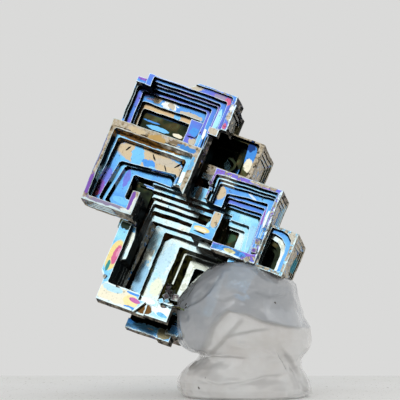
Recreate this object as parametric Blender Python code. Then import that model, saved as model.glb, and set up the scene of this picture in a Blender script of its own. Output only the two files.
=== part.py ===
"""A bismuth hopper crystal held up by a pressed lump of clear mineral tack. Metres, +Z up.

The crystal is one intergrown piece whose terraces all follow one lattice. Each block of it is laid
out in lattice axes, in tenths of a millimetre: X to the right along the long terraces, Z up them
and Y back into the crystal. The finished crystal is turned into its resting pose at the end.
"""

from collections import namedtuple
from math import copysign, cos, pi, radians, sin

import bmesh
import bpy
from mathutils import Euler, Matrix, Vector

TENTH = 0.0001
LATTICE_TURN = Euler((radians(-20.9), radians(18.0), radians(-15.6)))
LATTICE_ORIGIN = Vector((0.0, 0.0, 192.5))
LATTICE_TO_STAND = Matrix.Translation(LATTICE_ORIGIN) @ LATTICE_TURN.to_matrix().to_4x4()
OVERSHOOT = 6.0
FLATNESS = radians(0.01)

# A block of crystal: its extent along each lattice axis.
Block = namedtuple("Block", "left right front back low high")

# The outline of a terrace edge. "lean" is how much further left its left edge ends at the bottom,
# "rise" how much higher its top edge ends at the right, and "splay" how much further right its
# right edge ends at the bottom.
Ring = namedtuple("Ring", "left right low high lean rise splay corner", defaults=(0, 0, 0, None))

# One terrace of a pit: its depth, the outline that bounds it outside and the one it drops off at.
Terrace = namedtuple("Terrace", "depth outer inner")

# Blocks that the mineral tack is pressed around.
GREAT_FRONT = Block(-59, 66, 0, 70, -104, -38)
GREAT_BACK = Block(-56, 62, 65, 104, -97, 14)
GREAT_RIM = Block(-53, -2, 0.1, 16, -122, -95)
FOOT_ROOT = Block(-23.5, 60, 44, 86, -121, -95)
FOOT_SIDE = Block(40, 61, 24, 80, -128, -95.5)
RIGHT_LOWER = Block(38.5, 86, -9.9, 33.5, -37.3, 13)
RIGHT_BACK = Block(16, 78, 30, 62, -30, 38)
LOW_RIGHT = Block(80, 116, -4, 47, -39, 8)
LOW_RIGHT_ROOT = Block(58, 108, 16, 62, -70, -32)
CORE_RIGHT = Block(62.5, 96, 40, 90, -58, 10)

PRESSED_IN = [
    GREAT_FRONT,
    GREAT_BACK,
    GREAT_RIM,
    FOOT_ROOT,
    FOOT_SIDE,
    RIGHT_LOWER,
    RIGHT_BACK,
    LOW_RIGHT,
    LOW_RIGHT_ROOT,
    CORE_RIGHT,
    Block(-8, 32, 5, 60, -133, -96),
]

# The lump of tack at each height above the table: its left, right, front and back.
Level = namedtuple("Level", "height left right front back")
TACK_LEVELS = [
    Level(0, -6, 117, -48, 82),
    Level(3, -10, 120, -54, 88),
    Level(9, -13, 121, -58, 92),
    Level(16, -13, 119, -60, 93),
    Level(24, -9, 115, -59, 92),
    Level(31, -3, 112, -59, 92),
    Level(37, 4, 112.5, -58, 91),
    Level(41, 7, 115, -57.5, 91),
    Level(45, 2, 118, -59, 92),
    Level(51, -9, 121, -60, 93),
    Level(60, -14, 122, -64, 95),
    Level(70, -15.5, 120.5, -66, 95),
    Level(80, -15.8, 116, -66.5, 92),
    Level(90, -16, 111, -66, 88),
    Level(97, -13.5, 108.5, -65, 84),
    Level(105, -7, 107.5, -63, 78),
    Level(113, 0, 106, -60, 70),
    Level(121, 8, 97, -56, 60),
    Level(128, 17, 84, -51, 46),
    Level(133, 26, 73, -46, 32),
    Level(137, 36, 62, -38, 14),
]
TACK_SEGMENTS = 40
TACK_SWELL = 0.035
TACK_SQUARENESS = 0.86
TACK_GAP = 3.2

# Small crystals stuck to the large ones: middle in X, Y and Z, and size.
GREAT_LUMPS = [
    (-5.5, 65, -71.5, 7),
    (-1.5, 68, -76.5, 8),
    (4.5, 71, -80, 7),
    (-3.5, 66, -82, 6),
    (10.5, 1.5, -102.4, 4.2),
    (15.5, 4.5, -100.6, 4.6),
    (20, 3, -103, 3.8),
    (13, 4.4, -105, 3.6),
    (-52.5, 0.6, -97.8, 3.6),
]
RIGHT_LUMPS = [
    (82.8, -9.4, 0.7, 4.6),
    (81.6, -9.2, -14.2, 5.4),
    (81, -9.6, -25.3, 5.2),
    (76.6, -9.3, -36, 4.6),
    (84, -9, 17, 3.8),
    (14.4, -9.2, 25.5, 4.4),
    (15.6, -9.4, 19.6, 3.6),
]

# Blocks budding from the back and the left: the face with the pit, the middle and the size.
BUDS = [
    ("back", -62, 92, 41, 26),
    ("back", 28, 90, 14, 22),
    ("left", -66, 70, -22, 20),
    ("top", -44, 76, 50, 22),
    ("back", 66, 78, 8, 24),
]

# Where a pit opens: across, up and inward directions of the face.
FACES = {
    "front": (Vector((1, 0, 0)), Vector((0, 0, 1)), Vector((0, 1, 0))),
    "back": (Vector((1, 0, 0)), Vector((0, 0, 1)), Vector((0, -1, 0))),
    "left": (Vector((0, 1, 0)), Vector((0, 0, 1)), Vector((1, 0, 0))),
    "right": (Vector((0, 1, 0)), Vector((0, 0, 1)), Vector((-1, 0, 0))),
    "top": (Vector((1, 0, 0)), Vector((0, 1, 0)), Vector((0, 0, -1))),
    "bottom": (Vector((1, 0, 0)), Vector((0, 1, 0)), Vector((0, 0, 1))),
}


def mesh_object(name, bm):
    """Turns a bmesh into an object with its faces pointing out."""
    bmesh.ops.recalc_face_normals(bm, faces=bm.faces)
    mesh = bpy.data.meshes.new(name)
    bm.to_mesh(mesh)
    bm.free()
    made = bpy.data.objects.new(name, mesh)
    bpy.context.scene.collection.objects.link(made)
    return made


def corner_points(ring, default_corner, segments):
    """The outline of a ring, each corner cut back by straight or rounded steps."""
    left, right, low, high = ring.left, ring.right, ring.low, ring.high
    corners = [
        Vector((left, high)),
        Vector((right, high + ring.rise)),
        Vector((right + ring.splay, low)),
        Vector((left - ring.lean, low)),
    ]
    sizes = ring.corner if ring.corner is not None else default_corner
    if not isinstance(sizes, tuple):
        sizes = (sizes,) * 4
    points = []
    for index, corner in enumerate(corners):
        before = (corners[index - 1] - corner).normalized() * sizes[index]
        after = (corners[(index + 1) % 4] - corner).normalized() * sizes[index]
        for step in range(segments + 1):
            turn = 0.5 * pi * step / segments
            points.append(corner + before * (1 - sin(turn)) + after * (1 - cos(turn)))
    return points


def loft(name, loops):
    """A closed solid through outlines that all have the same number of points."""
    bm = bmesh.new()
    rows = [[bm.verts.new(point) for point in loop] for loop in loops]
    for row, following in zip(rows, rows[1:]):
        for index in range(len(row)):
            after = (index + 1) % len(row)
            bm.faces.new((row[index], row[after], following[after], following[index]))
    bm.faces.new(rows[0])
    bm.faces.new(reversed(rows[-1]))
    bmesh.ops.connect_verts_nonplanar(bm, angle_limit=FLATNESS, faces=bm.faces)
    return mesh_object(name, bm)


def block_solid(name, block):
    """A rectangular block of crystal."""
    bm = bmesh.new()
    bmesh.ops.create_cube(bm, size=1.0)
    size = Vector((block.right - block.left, block.back - block.front, block.high - block.low))
    middle = Vector((block.right + block.left, block.back + block.front, block.high + block.low))
    bmesh.ops.scale(bm, vec=size, verts=bm.verts)
    bmesh.ops.translate(bm, vec=middle / 2, verts=bm.verts)
    return mesh_object(name, bm)


def prism(name, outline, front, back):
    """A solid with one outline, in X and Z, drawn from front to back."""
    return loft(name, [[(x, y, z) for x, z in outline] for y in (front, back)])


def terraced_cutter(name, face, mouth, lip, terraces, corner=2.0, segments=1):
    """The hollow of a stepped pit that opens on a face, from its lip down to its last terrace."""
    across, up, inward = FACES[face]

    def placed(ring, depth):
        outline = corner_points(ring, corner, segments)
        return [across * p.x + up * p.y + inward * depth for p in outline]

    loops = [placed(lip, mouth - OVERSHOOT), placed(lip, mouth)]
    for terrace in terraces:
        loops.append(placed(terrace.outer, terrace.depth))
        if terrace.inner:
            loops.append(placed(terrace.inner, terrace.depth))
    return loft(name, loops)


def hopper(name, face, mouth, lip, steps, tread, drop):
    """A regular stepped pit: each terrace is one tread narrower all round and one drop deeper."""
    terraces = []
    for step in range(1, steps + 1):
        outer = inset(lip, tread * (step - 1) + 0.25 * step)
        inner = inset(lip, tread * step + 0.25 * step) if step < steps else None
        terraces.append(Terrace(mouth + drop * step, outer, inner))
    return terraced_cutter(name, face, mouth, lip, terraces, corner=1.2)


def inset(ring, width):
    """The outline drawn in by a width on all sides."""
    return ring._replace(
        left=ring.left + width,
        right=ring.right - width,
        low=ring.low + width,
        high=ring.high - width,
    )


def lumps(places):
    """Small cubes of crystal, each turned a little differently."""
    made = []
    for number, (x, y, z, size) in enumerate(places):
        half = size / 2
        lump = block_solid("lump", Block(-half, half, -half, half, -half, half))
        turn = Euler((0.5 + 0.9 * number, 0.4 + 0.7 * number, 0.3 + 1.1 * number))
        lump.data.transform(Matrix.Translation((x, y, z)) @ turn.to_matrix().to_4x4())
        made.append(lump)
    return made


def combine(target, others, operation):
    """Joins solids to the target or cuts them from it, and removes them."""
    for other in others:
        modifier = target.modifiers.new(other.name, "BOOLEAN")
        modifier.operation = operation
        modifier.solver = "EXACT"
        modifier.object = other
    graph = bpy.context.evaluated_depsgraph_get()
    finished = bpy.data.meshes.new_from_object(target.evaluated_get(graph))
    target.modifiers.clear()
    spent = [target.data] + [other.data for other in others]
    target.data = finished
    for other in others:
        bpy.data.objects.remove(other)
    for mesh in spent:
        bpy.data.meshes.remove(mesh)
    return target


def grown_together(name, blocks):
    """Several blocks as one solid."""
    solids = [block_solid(f"{name}_{index}", block) for index, block in enumerate(blocks)]
    target = combine(solids[0], solids[1:], "UNION")
    target.name = name
    return target


# ------------------------------------------------------------------ left crystal

def left_crystal():
    body = grown_together("left", [
        Block(-100.6, -4.6, -25, 4, 12.4, 53.2),
        Block(-98, -14, 0, 38, 12.7, 50),
        Block(-100.7, -46.6, -25, 1, -35.8, 20),
        Block(-98.05, -46.4, 0, 37, -28.5, 20.5),
    ])
    wedge = prism("wedge", [(-19, 17), (-4.7, 17), (-4.7, 2.2)], -25.1, 20)
    combine(body, [wedge], "UNION")
    pit = terraced_cutter("pit", "front", -25, Ring(-96, -10.5, -30.3, 44.2), [
        Terrace(-14, Ring(-94.4, -12.5, -29.8, 43.2, 1.5), Ring(-91.4, -17.4, -29.4, 38.9, 3.0)),
        Terrace(-5, Ring(-90.5, -20.7, -26.4, 37.8, 5.2, corner=5), Ring(-82.7, -22.7, -26, 17.9, 6.5, 5.9)),
        Terrace(2, Ring(-81, -24.5, -25.0, 17.2, 6.2, 5.8), Ring(-77.5, -25, -24.7, 16.8, 7, 5.8)),
        Terrace(8, Ring(-76, -27, -23.8, 16.4, 6, 5, corner=4), Ring(-67.5, -28, -13.6, 12.4)),
        Terrace(24, Ring(-66.3, -28.5, -13.0, 12.0), None),
    ])
    combine(body, [pit], "DIFFERENCE")
    post = block_solid("post", Block(-53.6, -46.5, -24.9, 12, -35.7, -10.8))
    ledge = block_solid("ledge", Block(-61, -44, 20, 34, 7.0, 9.7))
    combine(body, [post, ledge], "UNION")
    side = hopper("side", "left", -100.65, Ring(-22, -2, -31, 48), 3, 2.6, 1.1)
    beyond = hopper("beyond", "left", -98, Ring(4, 33, -24, 46), 4, 2.8, 1.5)
    under = hopper("under", "bottom", -35.8, Ring(-97, -64, -22, -3), 3, 2.2, 1.0)
    combine(body, [side, beyond, under], "DIFFERENCE")
    return body


# ------------------------------------------------------------------ great crystal, below

def great_crystal():
    body = grown_together("great", [
        GREAT_FRONT,
        Block(-46.5, 31.4, 12, 70, -39, 12.7),
        Block(-55, -44, 10, 60, -40, -26.5),
        GREAT_BACK,
        GREAT_RIM,
        Block(-8, 22, 5, 16, -120.4, -96),
    ])
    corner = prism("corner", [(-66, -91), (-59.5, -91), (-53.5, -99), (-53.1, -106), (-66, -106)], -5, 75)
    pit = terraced_cutter("pit", "front", 0, Ring(-48, 58, -102.5, 10.9), [
        Terrace(14, Ring(-47.8, 57, -102.3, 10.8), Ring(-47.7, 56.5, -102.1, 10.4)),
        Terrace(20, Ring(-47.5, 56, -101.9, 9.7), Ring(-47.3, 55.5, -101.7, 7.0)),
        Terrace(26, Ring(-46.6, 55, -101.5, 4.6, 0.5), Ring(-46.3, 54.5, -101.3, 1.6, 0.7)),
        Terrace(32, Ring(-43.9, 54, -101.0, 0, 2.9), Ring(-43.6, 53, -100.8, -3, 2.4)),
        Terrace(38, Ring(-43.3, 52, -100.6, -5.6, 2.4), Ring(-43.0, 51, -100.4, -8.6, 1.8)),
        Terrace(44, Ring(-42.8, 50, -100, -11.75, 1.7), Ring(-41.2, 49, -99.5, -17.75)),
        Terrace(50, Ring(-36.7, 47, -99, -19.35), Ring(-25.7, 46, -98.5, -23.2)),
        Terrace(58, Ring(-24.7, 44, -98, -23.5, corner=(8, 2, 2, 2)), Ring(-7.7, 42, -97, -30.5)),
        Terrace(70, Ring(-3.8, 40, -96.5, -31.7), Ring(-2.1, 39, -96, -33.2)),
        Terrace(82, Ring(2.2, 38, -95, -33.9), Ring(9.2, 34, -90, -40.9)),
        Terrace(92, Ring(9.8, 33, -89, -41.3), None),
    ], corner=1.5)
    notch = block_solid("notch", Block(-12, 8, -4, 6, -109, -101))
    facet = prism("facet", [(-13, -123), (-4, -108.9), (8, -108.9), (8, -123)], -4, 4.2)
    behind = hopper("behind", "back", -104, Ring(-52, 58, -92, 10), 3, 4.2, 1.7)
    deeper = hopper("deeper", "back", -99.5, Ring(-36, 3, -78, -12), 6, 3.0, 4.0)
    beside = hopper("beside", "left", -59, Ring(8, 61, -88, -44), 4, 3.6, 1.8)
    beyond = hopper("beyond", "left", -56, Ring(72, 99, -88, -20), 4, 2.6, 2.4)
    combine(body, [corner, pit, notch, facet, behind, deeper, beside, beyond], "DIFFERENCE")
    ledge = prism("ledge", [(-49, -76), (-49, -38.5), (-45, -38.5), (-42.2, -50), (-42.5, -72)], 9, 34)
    combine(body, [ledge] + lumps(GREAT_LUMPS), "UNION")
    return body


def foot_crystal():
    body = grown_together("foot", [
        Block(-24, 10, 40, 52, -130.7, -120.7),
        Block(4.8, 10.1, 40.1, 52, -122, -117.7),
        Block(10, 24, 38, 56, -131.5, -116),
        Block(18, 31, 35, 56, -124.8, -113.8),
        FOOT_ROOT,
        FOOT_SIDE,
    ])
    behind = hopper("behind", "back", -86, Ring(-19, 30, -118, -99), 3, 2.4, 3.0)
    combine(body, [behind], "DIFFERENCE")
    return body


# ------------------------------------------------------------------ platform between the pits

def platform():
    return grown_together("platform", [
        Block(6.4, 31.6, 14, 60, -23.7, -11.7),
        Block(22, 31.7, 14.1, 40, -12, 5.3),
        Block(-7, 12, 12, 60, 11.8, 24.3),
        Block(-5, 9, 20, 60, 35, 41),
        Block(-20, 24, 40, 70, 4, 44),
    ])


# ------------------------------------------------------------------ top crystal

def top_crystal():
    body = grown_together("top", [
        Block(-105.6, -12, 20, 58, 42, 109),
        Block(-40, 5, 0.2, 55, 84, 112.9),
        Block(-88, -20, 0, 30, 104, 115.2),
        Block(-22, -12.2, 0.1, 30, 54, 113.1),
        Block(-98, -14, 50, 84, 46, 104),
    ])
    crest = prism("crest", [(-50.5, 110), (3, 110), (3, 121.3), (-39, 121.3), (-50.5, 113.4)], 0.3, 40)
    combine(body, [crest], "UNION")
    pit = terraced_cutter("pit", "front", -1, Ring(-112, -0.5, 50.6, 119.6), [
        Terrace(4, Ring(-111, -1.5, 50.8, 119.1), Ring(-111, -5.5, 51, 113.9)),
        Terrace(10, Ring(-111, -5.7, 51.2, 113.1), Ring(-111, -12.5, 51.4, 110.9)),
        Terrace(16, Ring(-111, -12.7, 51.6, 110.1), Ring(-111, -15.6, 51.8, 108.7)),
        Terrace(22, Ring(-111, -15.8, 52, 108.5), Ring(-102.6, -22.1, 52.2, 106.1)),
        Terrace(28, Ring(-101.5, -22.3, 52.4, 104.3, corner=4), Ring(-97, -27.1, 52.6, 102.5)),
        Terrace(34, Ring(-96.6, -27.4, 52.8, 101.3), Ring(-95.5, -31.6, 53, 93.4)),
        Terrace(40, Ring(-95, -32, 53.2, 93.3), Ring(-93, -40.2, 53.4, 87.8)),
        Terrace(47, Ring(-92.6, -40.6, 53.6, 87.2), None),
    ], corner=1.5)
    behind = hopper("behind", "back", -84, Ring(-92, -20, 52, 98), 6, 3.2, 4.2)
    above = hopper("above", "top", -104, Ring(-92, -20, 60, 80), 3, 2.2, 1.1)
    beside = hopper("beside", "left", -98, Ring(60, 80, 51, 98), 2, 2.6, 1.2)
    facing_right = hopper("facing_right", "right", -5, Ring(5, 50, 88, 109), 2, 3.0, 1.4)
    combine(body, [pit, behind, above, beside, facing_right], "DIFFERENCE")
    spur = block_solid("spur", Block(-103, -88.1, 8, 26, 104, 110))
    post = block_solid("post", Block(-92, -86, 4, 24.5, 103, 115.6))
    corner = block_solid("corner", Block(-13, -2.2, 2.3, 12, 76, 83.4))
    combine(body, [spur, post, corner], "UNION")
    return body


# ------------------------------------------------------------------ upper back crystal

def back_crystal():
    body = grown_together("back", [Block(-40, 40, 30, 95, 42, 91)])
    pit = terraced_cutter("pit", "front", 30, Ring(-20, 35.9, 53, 89.5), [
        Terrace(36, Ring(-19.8, 34.4, 53.5, 88.4), Ring(-19, 23.4, 54, 87.5, splay=3.5)),
        Terrace(50, Ring(-18, 21, 55, 86.5), Ring(-16, 15, 57, 84)),
        Terrace(64, Ring(-15, 14, 58, 83), Ring(-12, 8, 60, 80)),
        Terrace(76, Ring(-11, 7, 61, 79), None),
    ])
    behind = hopper("behind", "back", -95, Ring(-34, 34, 48, 86), 5, 3.4, 3.0)
    above = hopper("above", "top", -91, Ring(-34, 35, 78, 92), 2, 2.2, 1.6)
    beside = hopper("beside", "right", -40, Ring(36, 90, 47, 87), 3, 3.2, 1.1)
    combine(body, [pit, behind, above, beside], "DIFFERENCE")
    combine(body, [crescent()], "UNION")
    return body


def crescent():
    """A curved ledge inside the upper back pit."""
    turns = [radians(angle) for angle in range(-80, 101, 20)]
    outside = [(9.6 + 8.6 * cos(turn), 62 + 7.6 * sin(turn)) for turn in turns]
    inside = [(8.6 + 7.2 * cos(turn), 61.6 + 5.8 * sin(turn)) for turn in reversed(turns)]
    foot = [(8.2, 52.4), (11.4, 52.4)]
    return prism("crescent", outside + inside + foot, 42, 66)


# ------------------------------------------------------------------ right crystal

def right_crystal():
    body = grown_together("right", [
        Block(13.5, 85.75, -10, 33, 9.7, 43),
        RIGHT_LOWER,
        RIGHT_BACK,
    ])
    pit = terraced_cutter("pit", "front", -10, Ring(15.5, 82.5, -29.3, 37.2, rise=2), [
        Terrace(-4, Ring(17, 80.7, -28.6, 36.3, rise=1.8), Ring(18.5, 80.3, -28.4, 34.9, rise=1.6)),
        Terrace(1, Ring(18.8, 79.6, -28, 33.4, rise=1.9), Ring(19.8, 78.5, -27.7, 32.0, rise=2.6)),
        Terrace(6, Ring(20, 78.3, -27, 31.0, rise=3.4), Ring(29.5, 73, -26.6, 25.6, 0, 3.6, 4)),
        Terrace(11, Ring(30, 72.8, -26, 25.3, 0, 1.9, 3.9), Ring(30.3, 70.2, -25.6, 22.9, 0, 1.7, 2.4)),
        Terrace(16, Ring(30.5, 70, -25, 22.0, 0, 1.7, 2.4), Ring(30.7, 68.4, -24.6, 18.1, 0, 1.5, 2)),
        Terrace(21, Ring(30.8, 68.2, -24, 17.7, 0, 0.8, 2), Ring(30.9, 67.7, -23.6, 16.3, 0, 0.8, 1.5)),
        Terrace(26, Ring(31, 67, -22.5, 14.9, 0, 0, 1, corner=3), Ring(34.4, 58.9, -22, 5.8, 0, 0, 5)),
        Terrace(32, Ring(35, 58.5, -21, 5.2, 0, 0, 5), Ring(36, 54.4, -20.5, 0.7, 0, 0, 4)),
        Terrace(38, Ring(36.2, 54, -19.5, 0.4, 0, 0, 3.5), Ring(37, 48.8, -19, -1.5, 0, 0, 1)),
        Terrace(46, Ring(37.3, 48.5, -18, -1.8, 0, 0, 1), None),
    ], corner=1.2)
    above = hopper("above", "top", -43, Ring(18, 81, -5, 29), 3, 2.8, 1.0)
    beyond = hopper("beyond", "top", -38, Ring(22, 74, 36, 59), 3, 2.8, 1.7)
    beside = hopper("beside", "right", -85.75, Ring(-5, 29, -30, 38), 3, 3.2, 0.9)
    combine(body, [pit, above, beyond, beside], "DIFFERENCE")
    combine(body, lumps(RIGHT_LUMPS), "UNION")
    return body


# ------------------------------------------------------------------ low right crystal

def low_right_crystal():
    body = grown_together("low_right", [LOW_RIGHT, LOW_RIGHT_ROOT])
    pit = terraced_cutter("pit", "front", -4, Ring(88, 112.5, -35.5, 5.5, corner=(1, 13, 2, 2)), [
        Terrace(1, Ring(88.3, 112, -35.2, 4.8, corner=(1, 14, 2, 2)), Ring(88.6, 108, -34.8, 1.2, corner=(1, 15, 2, 2))),
        Terrace(6, Ring(88.9, 107.6, -34.5, 0.6, corner=(1, 15, 2, 2)), Ring(89.4, 104.4, -34, -3.4, corner=(1, 14, 2, 2))),
        Terrace(11, Ring(89.7, 104, -33.6, -4, corner=(1, 13, 2, 2)), Ring(90, 100.6, -33, -8.4, corner=(1, 10, 2, 2))),
        Terrace(17, Ring(90.3, 100.2, -32.6, -9, corner=(1, 9, 2, 2)), Ring(90.6, 97, -32, -13, corner=(1, 5, 2, 2))),
        Terrace(28, Ring(90.9, 96.5, -31.6, -13.6, corner=(1, 4, 2, 2)), None),
    ], segments=3)
    behind = hopper("behind", "back", -62, Ring(65, 103, -66, -36), 3, 3.0, 2.6)
    above = hopper("above", "top", -8, Ring(90, 112, 14, 43), 3, 2.2, 1.5)
    beside = hopper("beside", "right", -116, Ring(1, 42, -34, 4), 3, 3.0, 0.9)
    combine(body, [pit, behind, above, beside], "DIFFERENCE")
    return body


# ------------------------------------------------------------------ heart of the cluster

def core():
    body = grown_together("core", [
        Block(-70, 38, 50, 100, -14, 50),
        CORE_RIGHT,
        Block(20, 70, 54, 92, -15, 24),
    ])
    behind = hopper("behind", "back", -100, Ring(-64, 31, 17.5, 45), 4, 3.4, 4.0)
    beside = hopper("beside", "back", -90, Ring(67, 92, -54, 6), 3, 3.0, 3.0)
    facing_left = hopper("facing_left", "left", -70, Ring(55, 96, -9, 45), 4, 3.4, 2.6)
    combine(body, [behind, beside, facing_left], "DIFFERENCE")
    combine(body, [bud(*place) for place in BUDS], "UNION")
    return body


def bud(face, x, y, z, size):
    """A small block that has started a pit of its own on one face."""
    half = size / 2
    made = block_solid("bud", Block(x - half, x + half, y - half, y + half, z - half, z + half))
    across, up, inward = FACES[face]
    middle = Vector((x, y, z))
    left, low = middle.dot(across) - 0.78 * half, middle.dot(up) - 0.78 * half
    lip = Ring(left, left + 1.56 * half, low, low + 1.56 * half)
    mouth = middle.dot(inward) - half
    pit = hopper("bud_pit", face, mouth, lip, 3, 0.19 * half, 0.2 * half)
    return combine(made, [pit], "DIFFERENCE")


def crystal():
    """The whole intergrown cluster, still in lattice axes."""
    parts = [
        great_crystal(),
        foot_crystal(),
        platform(),
        left_crystal(),
        top_crystal(),
        back_crystal(),
        right_crystal(),
        low_right_crystal(),
        core(),
    ]
    body = combine(parts[0], parts[1:], "UNION")
    body.name = "bismuth_crystal"
    body.data.name = "bismuth_crystal"
    body.data.transform(LATTICE_TO_STAND)
    return body


# ------------------------------------------------------------------ lump of mineral tack

def tack_outline(level, number):
    """One level of the lump: a slightly squared oval that swells and sinks a little as it goes."""
    middle = Vector(((level.left + level.right) / 2, (level.front + level.back) / 2))
    half = Vector(((level.right - level.left) / 2, (level.back - level.front) / 2))
    points = []
    for step in range(TACK_SEGMENTS):
        turn = 2 * pi * step / TACK_SEGMENTS
        swell = 1 + TACK_SWELL * sin(3 * turn + 0.35 * number) * abs(sin(turn))
        across = copysign(abs(cos(turn)) ** TACK_SQUARENESS, cos(turn))
        along = copysign(abs(sin(turn)) ** TACK_SQUARENESS, sin(turn))
        points.append((middle.x + half.x * across, middle.y + half.y * along * swell, level.height))
    return points


def tack_pocket():
    """The room the crystal takes up in the lump, with a hair of space all round."""
    grown = []
    for block in PRESSED_IN:
        low = [value - TACK_GAP for value in (block.left, block.front, block.low)]
        high = [value + TACK_GAP for value in (block.right, block.back, block.high)]
        grown.append(Block(low[0], high[0], low[1], high[1], low[2], high[2]))
    pocket = grown_together("pocket", grown)
    pocket.data.transform(LATTICE_TO_STAND)
    return pocket


def keep_largest(body):
    """Drops the crumbs that a cut has left beside the main body."""
    bm = bmesh.new()
    bm.from_mesh(body.data)
    left = set(bm.faces)
    shells = []
    while left:
        front = [left.pop()]
        shell = list(front)
        while front:
            face = front.pop()
            for edge in face.edges:
                for other in edge.link_faces:
                    if other in left:
                        left.remove(other)
                        front.append(other)
                        shell.append(other)
        shells.append(shell)
    shells.sort(key=lambda shell: sum(face.calc_area() for face in shell))
    for shell in shells[:-1]:
        bmesh.ops.delete(bm, geom=shell, context="FACES")
    bm.to_mesh(body.data)
    bm.free()


def putty():
    loops = [tack_outline(level, number) for number, level in enumerate(TACK_LEVELS)]
    body = loft("putty_stand", loops)
    combine(body, [tack_pocket()], "DIFFERENCE")
    keep_largest(body)
    return body


# ------------------------------------------------------------------ finishes

def material(name, color, metallic, roughness):
    made = bpy.data.materials.new(name)
    made.use_nodes = True
    shader = made.node_tree.nodes["Principled BSDF"]
    shader.inputs["Base Color"].default_value = (*color, 1.0)
    shader.inputs["Metallic"].default_value = metallic
    shader.inputs["Roughness"].default_value = roughness
    return made


def stand_on_centre(parts):
    """Brings the parts to full size, with the middle of the object's base at the origin."""
    corners = [vertex.co for part in parts for vertex in part.data.vertices]
    low = Vector([min(corner[axis] for corner in corners) for axis in range(3)])
    high = Vector([max(corner[axis] for corner in corners) for axis in range(3)])
    middle = (low + high) / 2
    shift = Matrix.Translation((-middle.x, -middle.y, -low.z))
    for part in parts:
        part.data.transform(Matrix.Scale(TENTH, 4) @ shift)


def main():
    for left_over in list(bpy.data.objects):
        bpy.data.objects.remove(left_over, do_unlink=True)
    parts = [crystal(), putty()]
    stand_on_centre(parts)
    parts[0].data.materials.append(material("oxide_film", (0.16, 0.36, 0.72), 1.0, 0.3))
    parts[1].data.materials.append(material("clear_tack", (0.72, 0.72, 0.70), 0.0, 0.3))


main()
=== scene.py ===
# %% [markdown]
# # A bismuth hopper crystal on a lump of clear tack
#
# Bismuth that cools slowly from the melt grows faster along the edges of its cubes than in the
# middle of their faces. Each face then sinks in steps, like the seats of a square stadium. The hot
# metal takes on a thin skin of oxide, and the thickness of that skin decides its colour.
# This lesson dresses the solids of such a cluster: first the shapes, then the finishes, then light.

# %% Load the solids and note their box
from collections import namedtuple
from math import cos, pi, radians, sin

import bmesh
import bpy
import numpy as np
from mathutils import Euler, Matrix, Vector, noise
from mathutils.bvhtree import BVHTree


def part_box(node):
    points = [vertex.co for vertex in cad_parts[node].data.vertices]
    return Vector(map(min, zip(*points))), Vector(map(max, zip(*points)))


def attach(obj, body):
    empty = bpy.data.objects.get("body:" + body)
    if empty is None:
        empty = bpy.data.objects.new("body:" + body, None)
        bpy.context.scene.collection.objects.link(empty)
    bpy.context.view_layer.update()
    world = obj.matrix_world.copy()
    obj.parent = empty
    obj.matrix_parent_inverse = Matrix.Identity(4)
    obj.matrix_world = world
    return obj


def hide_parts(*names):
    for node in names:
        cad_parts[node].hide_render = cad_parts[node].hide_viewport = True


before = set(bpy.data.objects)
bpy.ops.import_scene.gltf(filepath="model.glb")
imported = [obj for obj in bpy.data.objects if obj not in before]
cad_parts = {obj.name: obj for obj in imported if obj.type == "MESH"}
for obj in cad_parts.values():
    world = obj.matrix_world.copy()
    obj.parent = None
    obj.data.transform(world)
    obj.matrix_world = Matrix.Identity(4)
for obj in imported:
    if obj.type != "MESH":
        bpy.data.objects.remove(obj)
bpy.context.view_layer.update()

# %% [markdown]
# All the terraces follow one lattice, so the work is done in lattice axes: X along the long
# terraces, Z up them and Y back into the crystal, in tenths of a millimetre. The lattice's origin is
# found from the low corner of the crystal's own box, so that it follows the solids.

# %% Lattice axes
MM = 0.001
TENTH = 0.1 * MM
LATTICE_TURN = Euler((radians(-20.9), radians(18.0), radians(-15.6)))
ORIGIN_FROM_LOW_CORNER = Vector((10.9258, 4.454, 15.9718)) * MM

crystal_low, crystal_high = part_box("bismuth_crystal")
lattice_origin = crystal_low + ORIGIN_FROM_LOW_CORNER
to_world = (
    Matrix.Translation(lattice_origin)
    @ LATTICE_TURN.to_matrix().to_4x4()
    @ Matrix.Scale(TENTH, 4)
)
to_lattice = to_world.inverted()
print("lattice origin in mm:", [round(v * 1000, 2) for v in lattice_origin])

# %% [markdown]
# ## The crystal's skin
#
# The solid has ruled edges. On the real crystal each edge wanders a little, because the metal pulled
# back as it drained. One way would be to sculpt it. Here a copy of the solid is cut into small
# triangles, and its space is bent by a smooth noise, so that neighbouring steps stay clear of each
# other.

# %% Copy the solid into lattice axes and cut it small
WELD = 0.02
LONGEST_EDGE = 5.5
MOST_CUTS = 7


def lattice_copy(node):
    """The node's mesh as a bmesh in lattice axes."""
    bm = bmesh.new()
    bm.from_mesh(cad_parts[node].data)
    bmesh.ops.transform(bm, matrix=to_lattice, verts=bm.verts)
    bmesh.ops.remove_doubles(bm, verts=bm.verts, dist=WELD)
    return bm


def cut_small(bm, longest):
    """Splits long edges until the mesh can follow a bend."""
    bmesh.ops.triangulate(bm, faces=bm.faces)
    for _ in range(MOST_CUTS):
        long_edges = [edge for edge in bm.edges if edge.calc_length() > longest]
        if not long_edges:
            break
        bmesh.ops.subdivide_edges(bm, edges=long_edges, cuts=1)
        bmesh.ops.triangulate(bm, faces=[face for face in bm.faces if len(face.verts) > 3])


skin = lattice_copy("bismuth_crystal")
solid_tree = BVHTree.FromBMesh(skin)
cut_small(skin, LONGEST_EDGE)
skin.normal_update()
print("skin triangles:", len(skin.faces))

# %% [markdown]
# Each face gets a kind. A terrace shows the oxide's colours. A riser stands between two terraces, and
# what it mirrors is the dark inside of its pit. The outer faces that look right or down were against
# other crystals and are a dull crust, apart from the pits in them. The faces could be picked by
# hand, but there are thousands, so rays decide. Odd places are named by their ranges of x, y and z.

# %% Ranges of the lattice
FAR = 999
ALL = (-FAR, FAR)
AXES = (Vector((1, 0, 0)), Vector((0, 1, 0)), Vector((0, 0, 1)))


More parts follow.
